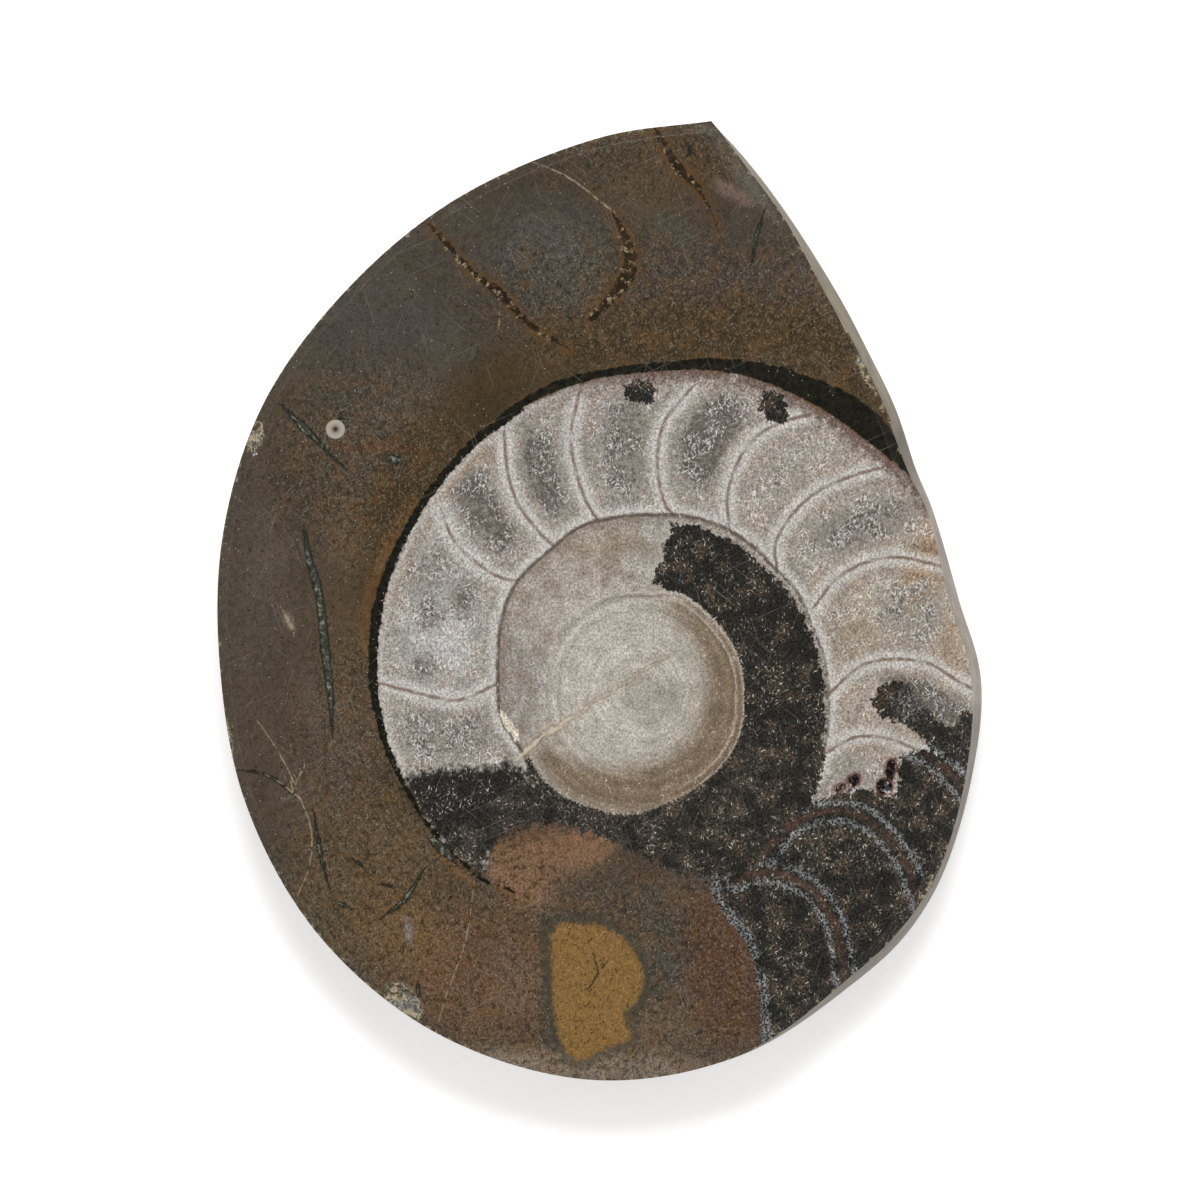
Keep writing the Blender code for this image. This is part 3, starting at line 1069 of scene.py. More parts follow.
    def band(self, value: object, middle: float, half: float) -> bpy.types.NodeSocket:
        """Returns 1 at the middle value, falling to 0 at half a width away."""
        away = self.math("ABSOLUTE", self.math("SUBTRACT", value, middle))
        return self.fade(away, half, 0.0)

    def over(self, base: object, top: object, *covers: object) -> object:
        """Lays one colour over another.

        Args:
            base: The colour below, a socket or a display colour.
            top: The colour above, a socket or a display colour.
            covers: How much it covers, 0 to 1, as values to be multiplied.

        Returns:
            The mixed colour.
        """
        node = self.tree.nodes.new("ShaderNodeMix")
        node.data_type = "RGBA"
        node.clamp_factor = True
        self.feed(node.inputs["Factor"], self.product(*covers))
        for socket, colour in ((node.inputs[6], base), (node.inputs[7], top)):
            self.feed(socket, albedo(colour) if isinstance(colour, tuple) else colour)
        return node.outputs[2]

    def shade(self, colour: object, value: object, low: float, high: float) -> object:
        """Scales a colour from low to high as a noise value goes over its usual span."""
        node = self.tree.nodes.new("ShaderNodeMapRange")
        self.feed(node.inputs["Value"], value)
        node.inputs["From Min"].default_value = NOISE_SPAN[0]
        node.inputs["From Max"].default_value = NOISE_SPAN[1]
        node.inputs["To Min"].default_value = low
        node.inputs["To Max"].default_value = high
        scale = self.tree.nodes.new("ShaderNodeVectorMath")
        scale.operation = "SCALE"
        self.feed(scale.inputs[0], colour[:3] if isinstance(colour, tuple) else colour)
        self.feed(scale.inputs["Scale"], node.outputs["Result"])
        return scale.outputs[0]

    def join(self, x: object, y: object) -> bpy.types.NodeSocket:
        """Joins two values to coordinates."""
        node = self.tree.nodes.new("ShaderNodeCombineXYZ")
        self.feed(node.inputs[0], x)
        self.feed(node.inputs[1], y)
        return node.outputs[0]

    def ragged(self, name: str, reach: float) -> bpy.types.NodeSocket:
        """Reads a distance and makes its edge ragged, by up to about the reach in millimetres."""
        rough = self.math("SUBTRACT", "middle", 0.5)
        return self.total(name, self.product(rough, reach * 4))

    def line(self, name: str, reach: float) -> bpy.types.NodeSocket:
        """Reads a thin line's fields as a ragged distance to its edge, negative inside."""
        away = self.math("ABSOLUTE", self.ragged(name, reach))
        return self.math("SUBTRACT", away, name + "_half")

    def dots(self, per_mm: float, radius: float, low: float, high: float) -> bpy.types.NodeSocket:
        """Scatters round dots.

        Args:
            per_mm: How many cells there are in a millimetre.
            radius: The dots' radius, as a share of a cell.
            low: Where the share of cells with a dot starts, 0 to 1.
            high: Where it ends.

        Returns:
            1 in a dot and 0 outside.
        """
        away, chance = self.cells(per_mm)
        middle = (low + high) / 2
        there = self.math("COMPARE", chance, middle)
        there.node.inputs[2].default_value = (high - low) / 2
        return self.product(self.fade(away, radius * 1.4, radius * 0.6), there)

    def needles(self, degrees: float, length: float, width: float, share: float) -> object:
        """Scatters thin straight marks that run one way.

        Args:
            degrees: Their direction, anticlockwise from +X.
            length: How long their cells are, in millimetres.
            width: How wide their cells are, in millimetres.
            share: The share of cells with a mark.

        Returns:
            1 in a mark and 0 outside.
        """
        node = self.tree.nodes.new("ShaderNodeMapping")
        node.vector_type = "TEXTURE"
        node.inputs["Location"].default_value = (degrees * 0.37, degrees * 0.61, 0.0)
        node.inputs["Rotation"].default_value = (0.0, 0.0, math.radians(degrees))
        node.inputs["Scale"].default_value = (length, width, 1.0)
        self.tree.links.new(self.mm, node.inputs["Vector"])
        away, chance = self.cells(1.0, node.outputs["Vector"])
        there = self.fade(chance, 1 - share, 1 - share * 0.3)
        return self.product(self.fade(away, 0.42, 0.1), there)

    def bump(self, height: object, depth_mm: float) -> None:
        """Gives the shader fine relief of a real depth in millimetres."""
        node = self.tree.nodes.new("ShaderNodeBump")
        node.inputs["Strength"].default_value = 1.0
        node.inputs["Distance"].default_value = depth_mm * MM
        self.feed(node.inputs["Height"], height)
        self.tree.links.new(node.outputs["Normal"], self.shader.inputs["Normal"])

    def finish(self, colour: object, rough: object, specular: float) -> bpy.types.Material:
        """Sets the shader and returns the material."""
        self.feed(self.shader.inputs["Base Color"], colour)
        self.feed(self.shader.inputs["Roughness"], rough)
        self.shader.inputs["Specular IOR Level"].default_value = specular
        return self.material


@dataclass(frozen=True)
class PolishedFace:
    """The polish over matrix, shell and veins. Colours are as they look, 0 to 255."""

    rind: Rgb = (34, 33, 28)
    rust: Rgb = (112, 80, 46)
    septum: Rgb = (114, 88, 72)
    whorl_wall: Rgb = (84, 70, 61)
    maroon: Rgb = (90, 64, 52)
    smoke: Rgb = (128, 121, 113)
    dark_smoke: Rgb = (84, 77, 70)
    pale_rim: Rgb = (186, 183, 177)
    frost: Rgb = (204, 205, 204)
    fleck: Rgb = (226, 224, 219)
    black: Rgb = (46, 45, 42)
    black_warm: Rgb = (86, 70, 53)
    red_line: Rgb = (84, 64, 55)
    blue_fringe: Rgb = (142, 144, 146)
    ochre: Rgb = (134, 104, 63)
    cream: Rgb = (180, 164, 132)
    streak: Rgb = (40, 42, 35)
    scratch: Rgb = (166, 158, 144)
    speck: Rgb = (34, 29, 23)
    warm_grain: Rgb = (104, 76, 46)
    dull_grain: Rgb = (52, 46, 38)
    light_grain: Rgb = (156, 140, 116)
    ochre_halo: Rgb = (68, 66, 56)
    ochre_fleck: Rgb = (48, 38, 26)
    brown_spar: Rgb = (146, 124, 102)
    tan_spar: Rgb = (142, 122, 104)
    rim_shade: Rgb = (118, 104, 92)
    warm_spar: Rgb = (142, 126, 108)
    whorl_shade: Rgb = (128, 115, 104)
    murk: Rgb = (98, 89, 77)
    veil: Rgb = (142, 140, 137)
    black_dust: Rgb = (150, 145, 136)
    rind_stain: Rgb = (98, 72, 44)
    vein_stain: Rgb = (96, 70, 42)
    vein_dark: Rgb = (40, 34, 27)
    vein_light: Rgb = (150, 132, 102)
    vein_red: Rgb = (72, 52, 43)
    streak_core: Rgb = (60, 63, 56)
    streak_light: Rgb = (116, 119, 108)
    seam_stain: Rgb = (136, 108, 76)
    seam: Rgb = (210, 200, 180)
    chip_brown: Rgb = (106, 92, 72)
    chip_grey: Rgb = (128, 126, 116)
    chip_dark: Rgb = (74, 69, 62)
    # Cream lip of the chips: partly the pale broken rim, partly a painted highlight where the rim
    # catches light.
    chip_lip_and_glint: Rgb = (202, 188, 158)
    gouge: Rgb = (224, 214, 196)
    hole_rim: Rgb = (104, 62, 50)
    # Near black inside the two hollows: painted shade of their depth.
    hole: Rgb = (34, 27, 23)
    tube_wall: Rgb = (172, 165, 152)
    tube_fill: Rgb = (128, 118, 104)
    tube_heart: Rgb = (72, 60, 46)
    black_border: Rgb = (186, 180, 170)
    disc_pale: Rgb = (190, 182, 170)
    disc_brown: Rgb = (112, 92, 76)
    disc_inner: Rgb = (182, 172, 158)
    veil_place: Point = (29.9, -9.8)
    tube_place: Point = (-25.4, 16.4)
    relief: float = 0.006
    gloss: float = 0.14
    edge_dullness: float = 0.65
    specular: float = 0.26

    def matrix(self, make: Recipe) -> object:
        """The limestone and the mud of the body chamber, with grain and specks."""
        stone = make.attribute("ground", "Color")
        stone = make.shade(stone, "broad", 0.84, 1.16)
        stone = make.shade(stone, "middle", 0.86, 1.14)
        calm = make.shade(stone, "grain", 0.82, 1.2)
        rough = make.shade(stone, "grain", 0.55, 1.45)
        stone = make.over(calm, rough, "mottle")
        warm = make.product(make.fade("cloud", 0.48, 0.62), 0.38, "mottle")
        stone = make.over(stone, self.warm_grain, warm)
        dull = make.product(make.fade("middle", 0.46, 0.36), 0.55, "mottle")
        stone = make.over(stone, self.dull_grain, dull)
        light = make.product(make.fade("crystals", 0.64, 0.76), 0.4, "mottle")
        stone = make.over(stone, self.light_grain, light)
        large = make.product(make.dots(1.6, 0.16, 0.0, 0.2), make.fade("cloud", 0.48, 0.56))
        stone = make.over(stone, self.speck, large, 0.75)
        return make.over(stone, self.speck, make.dots(3.4, 0.24, 0.0, 0.09), 0.5)

    def ochre_patch(self, make: Recipe, stone: object) -> object:
        """Lays the ochre stain, its green-grey halo and its dark flecks over the mud."""
        shape = make.ragged("ochre", 0.4)
        halo = make.product(make.fade(shape, 1.5, 0.3), 0.6)
        stone = make.over(stone, self.ochre_halo, halo)
        patch = make.shade(albedo(self.ochre), "middle", 0.82, 1.18)
        patch = make.shade(patch, "grain", 0.72, 1.28)
        flecks = make.largest(make.needles(70, 0.9, 0.2, 0.14), make.dots(3.4, 0.3, 0.1, 0.18))
        patch = make.over(patch, self.ochre_fleck, flecks, 0.75)
        return make.over(stone, patch, make.fade(shape, 0.3, -0.3))

    def chambers(self, make: Recipe) -> object:
        """The calcite that fills the chambers: pale along the walls, smoky in the middle."""
        gap = make.ragged("wall_gap", 0.25)
        torn = make.total(make.product("middle", 1.5), make.product("cloud", 1.4))
        core = make.total("core", make.math("SUBTRACT", torn, 1.0))
        stone = make.attribute("spar", "Color")
        stone = make.shade(stone, "cloud", 0.76, 1.2)
        stone = make.shade(stone, "middle", 0.84, 1.18)
        brown = make.product(make.fade("cloud", 0.5, 0.64), make.fade(gap, 0.7, 1.6), 0.5)
        stone = make.over(stone, self.brown_spar, brown)
        tan = make.product(make.band(gap, 1.9, 0.6), make.fade("cloud", 0.4, 0.56), 0.4)
        stone = make.over(stone, self.tan_spar, tan)
        smoke = make.product(make.fade(core, 0.6, 1.05), make.fade(gap, 1.0, 2.0))
        stone = make.over(stone, self.smoke, smoke, 0.88)
        deep = make.product(make.fade(core, 0.96, 1.42), make.fade(gap, 1.3, 2.2), 0.78)
        stone = make.over(stone, self.dark_smoke, deep)
        frost = make.product(make.fade("crystals", 0.58, 0.78), make.fade("cloud", 0.42, 0.6))
        frost = make.product(frost, make.fade(gap, 1.0, 2.2), 0.7)
        stone = make.over(stone, self.frost, frost)
        combed = make.join(make.product("wall_run", 4.0), gap)
        threads = make.noise(1.0, 2, combed)
        stone = make.over(stone, make.shade(stone, threads, 0.7, 1.3), make.fade(gap, 1.8, 1.0))
        stone = make.over(stone, self.pale_rim, make.fade(gap, 1.15, 0.35), 0.75)
        dark = make.product(make.band(gap, 1.35, 0.22), 0.3)
        stone = make.over(stone, self.rim_shade, dark)
        blades = make.largest(make.needles(62, 1.3, 0.16, 0.16), make.needles(104, 1.0, 0.14, 0.14))
        blades = make.product(blades, make.fade("cloud", 0.42, 0.56), 0.5)
        stone = make.over(stone, self.frost, blades)
        stone = make.shade(stone, "grain", 0.7, 1.34)
        return make.shade(stone, "crystals", 0.6, 1.36)

    def inner_whorl(self, make: Recipe) -> object:
        """The calcite between the inner whorl's wall and the disc, in soft rounds."""
        stone = make.attribute("spar", "Color")
        rounds = make.noise(0.8, 3, "disc", "1D")
        stone = make.shade(stone, rounds, 0.88, 1.12)
        stone = make.shade(stone, "cloud", 0.8, 1.18)
        warm = make.product(make.fade("cloud", 0.5, 0.4), 0.4)
        stone = make.over(stone, self.warm_spar, warm)
        near = make.product(make.fade(make.ragged("whorl", 0.25), -1.2, -0.2), 0.5)
        stone = make.over(stone, self.whorl_shade, near)
        stone = make.shade(stone, "grain", 0.68, 1.28)
        return make.shade(stone, "crystals", 0.6, 1.26)

    def disc(self, make: Recipe) -> object:
        """The disc in the shell's navel, with its fine growth rings."""
        waved = make.total("radius", make.product("cloud", 1.2))
        rings = make.noise(1.5, 2, waved, "1D")
        stone = make.shade(make.attribute("spar", "Color"), rings, 0.82, 1.14)
        stone = make.shade(stone, "cloud", 0.84, 1.14)
        side = make.fade("rim_side", -0.3, 0.4)
        for middle, half, colour in ((-0.15, 0.16, self.disc_pale), (-0.5, 0.14, self.disc_brown),
                                     (-0.85, 0.18, self.disc_inner)):
            rim = make.product(make.band(make.ragged("disc", 0.08), middle, half), side, 0.6)
            stone = make.over(stone, colour, rim)
        stone = make.shade(stone, "grain", 0.72, 1.26)
        return make.shade(stone, "crystals", 0.7, 1.2)

    def walls(self, make: Recipe, stone: object) -> object:
        """Draws the thin walls of the shell, and the brown rim inside the coil."""
        inward = make.product("coil", -1.0)
        right = make.fade("coil_run", 0.5, 0.3)
        rim = make.total(inward, make.product("middle", 2.2))
        rim = make.product(make.fade(rim, 2.9, 1.5), right, make.fade("cloud", 0.2, 0.42), 0.85)
        maroon = make.shade(albedo(self.maroon), "grain", 0.4, 1.7)
        stone = make.over(stone, maroon, rim)
        rust = make.product(make.band(inward, 0.12, 0.22), make.fade("cloud", 0.46, 0.62), 0.5)
        stone = make.over(stone, self.rust, rust)
        outside = make.fade("whorl", -0.05, 0.1)
        away = make.math("ABSOLUTE", make.ragged("septum", 0.05))
        line = make.product(make.fade(away, 0.28, 0.04), make.fade("cloud", 0.15, 0.6), outside)
        stone = make.over(stone, self.septum, line, 0.85)
        away = make.math("ABSOLUTE", make.ragged("whorl", 0.07))
        line = make.product(make.fade(away, 0.3, 0.06), make.fade("cloud", 0.15, 0.5), 0.85)
        return make.over(stone, self.whorl_wall, line)

    def black_fill(self, make: Recipe) -> object:
        """Black calcite, with crystal fringes along the walls of the last chambers."""
        stone = make.shade(albedo(self.black), "cloud", 0.8, 1.22)
        brown = make.product(make.fade("cloud", 0.5, 0.66), 0.5)
        brown = make.product(brown, make.fade("left_fill", -0.5, 1.0))
        stone = make.over(stone, self.black_warm, brown)
        low = make.product(make.fade("around", 48, 34), make.fade("last", 1.0, 0.3))
        low = make.total(low, make.product("last", 0.35))
        murk = make.product(low, make.fade("cloud", 0.25, 0.7), 0.32)
        stone = make.over(stone, self.murk, murk)
        away = make.vector("DISTANCE", make.mm, (*self.veil_place, THICKNESS))
        veil = make.product(make.fade(away, 2.6, 0.6), make.fade("crystals", 0.5, 0.7), 0.55)
        stone = make.over(stone, self.veil, veil)
        stone = make.shade(stone, "grain", 0.2, 1.8)
        thick = make.fade(make.total("broad", "cloud"), 0.86, 1.2)
        dust = make.product(make.fade("crystals", 0.64, 0.8), thick, 0.7)
        stone = make.over(stone, self.black_dust, dust)
        border = make.product(make.fade("wall_run", 474, 478), 0.6)
        gap = make.total(make.ragged("wall_gap", 0.3), border)
        outside = make.fade("whorl", -0.05, 0.1)
        beads = make.product(make.fade("grain", 0.4, 0.6), "last", outside)
        beads = make.product(beads, make.fade("cloud", 0.28, 0.48))
        for middle, half, strength in ((0.9, 0.48, 0.9), (0.9, 0.18, 0.5)):
            fringe = make.product(make.band(gap, middle, half), beads, strength)
            stone = make.over(stone, self.blue_fringe, fringe)
        away = make.math("ABSOLUTE", make.ragged("septum", 0.08))
        line = make.product(make.fade(away, 0.45, 0.14), "last", make.fade("cloud", 0.25, 0.6))
        line = make.product(line, make.fade("wall_run", 476, 472), 0.8)
        red = make.shade(albedo(self.red_line), "grain", 0.6, 1.4)
        return make.over(stone, red, line)

    def marks(self, make: Recipe, stone: object) -> object:
        """Lays rind, veins, streaks, cracks and chips over the stone, with a painted highlight on
        the chips' lips and painted shade inside the two hollows.
        """
        rind = make.shade(albedo(self.rind), "middle", 0.2, 2.0)
        rind = make.shade(rind, "grain", 0.4, 1.7)
        stain = make.fade(make.ragged("rind", 0.2), 0.4, 0.0)
        stain = make.product(stain, make.fade("cloud", 0.4, 0.6))
        stone = make.over(stone, self.rind_stain, stain, 0.5)
        stone = make.over(stone, rind, make.fade(make.ragged("rind", 0.125), 0.07, -0.07))
        vein = make.line("vein", 0.25)
        stain = make.product(make.fade(vein, 0.8, 0.05), make.fade("cloud", 0.32, 0.54))
        stone = make.over(stone, self.vein_stain, stain, 0.7)
        crystals = make.over(self.vein_dark, self.vein_light, make.fade("middle", 0.52, 0.7))
        crystals = make.over(crystals, self.vein_red, make.fade("cloud", 0.52, 0.62), 0.4)
        crystals = make.shade(crystals, "grain", 0.3, 1.8)
        stone = make.over(stone, crystals, make.fade(vein, 0.08, -0.12), 0.92)
        streak = make.line("streak", 0.12)
        green = make.over(self.streak_core, self.streak_light, make.fade("middle", 0.48, 0.64))
        green = make.over(self.streak, green, make.fade(streak, -0.1, -0.24))
        green = make.shade(green, "grain", 0.5, 1.6)
        stone = make.over(stone, green, make.fade(streak, 0.1, -0.06), 0.9)
        crack = make.product(make.fade(make.line("crack", 0.06), 0.08, -0.02), 0.6)
        stone = make.over(stone, self.cream, crack, make.fade("middle", 0.3, 0.6))
        seam = make.line("seam", 0.1)
        stone = make.over(stone, self.seam_stain, make.fade(seam, 0.3, 0.1), 0.35)
        bright = make.fade(make.total(seam, make.product("middle", 0.5)), 0.28, 0.08)
        stone = make.over(stone, self.seam, bright, 0.75)
        chip = make.ragged("chip", 0.4)
        chalk = make.over(self.chip_brown, self.chip_grey, make.fade("cloud", 0.46, 0.56))
        chalk = make.over(chalk, self.chip_dark, make.fade("black", 0.3, -0.3), 0.9)
        chalk = make.shade(chalk, "middle", 0.45, 1.5)
        chalk = make.shade(chalk, "grain", 0.35, 1.6)
        # The cream lip round each chip: partly the pale broken rim, partly a painted highlight on
        # it.
        lip_and_glint = make.product(make.band(chip, -0.08, 0.16), make.fade("middle", 0.44, 0.56), 0.8)
        chalk = make.over(chalk, self.chip_lip_and_glint, lip_and_glint)
        stone = make.over(stone, chalk, make.fade(chip, 0.04, -0.06))
        gouge = make.shade(albedo(self.gouge), "grain", 0.5, 1.3)
        stone = make.over(stone, gouge, make.fade(make.ragged("gouge", 0.12), 0.05, -0.1))
        hole = make.ragged("hole", 0.12)
        stone = make.over(stone, self.hole_rim, make.fade(hole, 0.3, 0.05), 0.8)
        # Painted shade: the inside of the two hollows is painted near black.
        return make.over(stone, self.hole, make.fade(hole, 0.05, -0.12))

    def ring_fossil(self, make: Recipe, stone: object) -> object:
        """Draws the small tube shell cut across in the matrix."""
        away = make.vector("DISTANCE", make.mm, (*self.tube_place, THICKNESS))
        stone = make.over(stone, self.tube_wall, make.fade(away, 0.98, 0.84))
        stone = make.over(stone, self.tube_fill, make.fade(away, 0.6, 0.4), 0.6)
        return make.over(stone, self.tube_heart, make.fade(away, 0.34, 0.16))

    def scratches(self, make: Recipe, stone: object) -> object:
        """Lays fine polishing scratches, crystal needles and dust over all."""
        turns = ((24, 8.0), (-38, 6.0), (70, 4.4), (-72, 5.2), (49, 2.2))
        marks = [make.needles(turn, length, 0.08, 0.022) for turn, length in turns]
        stone = make.over(stone, self.scratch, make.largest(*marks), 0.3)
        shell = make.fade("shell", 0.1, -0.3)
        sparks = make.product(make.fade("crystals", 0.74, 0.8), make.fade("cloud", 0.4, 0.6))
        stone = make.over(stone, self.fleck, sparks, shell, 0.75)
        return make.over(stone, self.fleck, make.dots(3.4, 0.17, 0.985, 1.0), 0.4)

    def material(self) -> bpy.types.Material:
        """Builds the whole finish, from the matrix up to the scratches."""
        make = Recipe("polished_fossil_limestone")
        stone = self.ochre_patch(make, self.matrix(make))
        shell = make.fade(make.ragged("shell", 0.1), 0.08, -0.08)
        within = make.fade("whorl", 0.05, -0.05)
        calcite = make.over(self.chambers(make), self.inner_whorl(make), within)
        side = make.fade("rim_side", -0.6, 0.3)
        blur = make.total(make.ragged("disc", 0.12), make.product("cloud", 0.4))
        soft = make.fade(blur, 1.2, -0.8)
        in_disc = make.over(soft, make.fade(blur, 0.4, 0.0), side)
        calcite = self.walls(make, make.over(calcite, self.disc(make), in_disc))
        stone = make.over(stone, calcite, make.largest(shell, within))
        night = self.black_fill(make)
        left = make.total("left_fill", make.product("middle", 2.6))
        stone = make.over(stone, night, make.fade(left, 2.1, 0.9))
        grown = make.total(make.product("grain", 0.4), make.product("last", -0.45))
        torn = make.product(make.math("SUBTRACT", "middle", 0.5), 1.5)
        by_disc = make.fade("disc", 0.1, 0.9)
        torn = make.product(torn, make.total(make.product(by_disc, 0.88), 0.12))
        black = make.total("black", make.total(torn, grown))
        pale = make.product(make.band(black, 0.55, 0.3), make.fade("whorl", 0.3, -0.2), by_disc)
        stone = make.over(stone, self.black_border, pale, make.fade("crystals", 0.5, 0.64))
        stone = make.over(stone, night, make.fade(black, 0.32, 0.1))
        stone = self.ring_fossil(make, self.marks(make, stone))
        stone = self.scratches(make, stone)
        # Cream flecks along the polished edge: partly rubbed wear, partly a painted highlight along
        # the edge.
        worn = make.total("middle", make.product("edge", -0.4))
        stone = make.over(stone, self.cream, make.fade(worn, 0.53, 0.62), 0.55)
        make.bump("grain", self.relief)
        worn = make.product(make.fade("edge", 1.0, 0.85), self.edge_dullness)
        rough = make.total(self.gloss, make.product("middle", 0.08), worn)
        return make.finish(stone, rough, self.specular)


@dataclass(frozen=True)
class GroundWall:
    """The hand-ground wall: dull, paler than the polish, with fine lines along it."""

    dust: Rgb = (170, 158, 136)
    shell_dust: Rgb = (180, 169, 158)
    black_dust: Rgb = (96, 92, 88)
    rind_dust: Rgb = (84, 80, 72)
    line_scale: tuple[float, ...] = (0.3, 0.3, 1.7)
    relief: float = 0.03
    roughness: float = 0.72
    specular: float = 0.3

    def material(self) -> bpy.types.Material:
        """Builds the wall's finish."""
        make = Recipe("ground_limestone_wall")
        lines = make.vector("MULTIPLY", make.mm, self.line_scale)
        stone = make.over(make.attribute("ground", "Color"), self.dust, 0.72)
        shell = make.fade("shell", 2.2, -2.2)
        stone = make.over(stone, self.shell_dust, shell, 0.8)
        black = make.product(make.fade("black", 1.2, 0.2), 0.35)
        stone = make.over(stone, self.black_dust, black)
        rind = make.product(make.fade("rind", 0.9, -0.5), 0.45)
        stone = make.over(stone, self.rind_dust, rind)
        stone = make.shade(stone, make.noise(1.0, 3, lines, "3D"), 0.8, 1.16)
        stone = make.shade(stone, make.noise(0.35, 5, None, "3D"), 0.76, 1.2)
        grain = make.noise(4.0, 2, None, "3D")
        stone = make.shade(stone, grain, 0.88, 1.1)
        make.bump(grain, self.relief)
        return make.finish(stone, self.roughness, self.specular)


@dataclass(frozen=True)
class SawnBack:
    """The sawn back: matte, with the saw's shallow arcs and a faint ghost of the coil."""

    stone: Rgb = (118, 109, 96)
    dust: Rgb = (138, 129, 115)
    ghost: Rgb = (146, 139, 129)
    heart: Rgb = (112, 106, 97)
    coil_middle: tuple[float, ...] = (5.0, -6.5, 0.0)
    saw_middle: tuple[float, ...] = (-150.0, 40.0, 0.0)
    relief: float = 0.06
    roughness: float = 0.85
    specular: float = 0.25

    def material(self) -> bpy.types.Material:
        """Builds the back's finish."""
        make = Recipe("sawn_limestone_back")
        stone = make.over(self.stone, self.dust, make.fade("cloud", 0.25, 0.75))
        away = make.vector("DISTANCE", make.mm, self.coil_middle)
        ghost = make.fade(make.total(away, make.product("cloud", 4.0)), 28.5, 25.5)
        stone = make.over(stone, self.ghost, ghost, 0.5)
        heart = make.fade(make.total(away, make.product("cloud", 3.0)), 14.0, 12.0)
        stone = make.over(stone, self.heart, heart, 0.4)
        stone = make.shade(stone, "broad", 0.85, 1.12)
        away = make.vector("DISTANCE", make.mm, self.saw_middle)
        arcs = make.noise(1.6, 3, away, "1D")
        stone = make.shade(stone, arcs, 0.92, 1.07)
        stone = make.shade(stone, "grain", 0.88, 1.1)
        make.bump(make.total(arcs, make.product("grain", 0.5)), self.relief)
        return make.finish(stone, self.roughness, self.specular)


def new_float_field(mesh: bpy.types.Mesh, name: str, values: np.ndarray) -> None:
    """Stores one number on every vertex."""
    attribute = mesh.attributes.new(name, "FLOAT", "POINT")
    attribute.data.foreach_set("value", np.ascontiguousarray(values, np.float32))


def new_colour_field(mesh: bpy.types.Mesh, name: str, values: np.ndarray) -> None:
    """Stores one linear colour on every vertex."""
    attribute = mesh.attributes.new(name, "FLOAT_COLOR", "POINT")
    full = np.ones((len(values), 4), np.float32)
    full[:, :3] = values
    attribute.data.foreach_set("color", full.ravel())


@dataclass(frozen=True)
class MapPatch:
    """Where a flat surface lies on the texture map.

    Args:
        left: Its left end.
        low: Its lower end.
        height: How much of the map the slab's whole height takes.
    """

    left: float
    low: float
    height: float

    def lay(self, offset: np.ndarray) -> np.ndarray:
        """Returns the map's places for millimetres from the slab's lower left corner."""
        return np.array([self.left, self.low]) + offset * (self.height / MAP_SPAN)


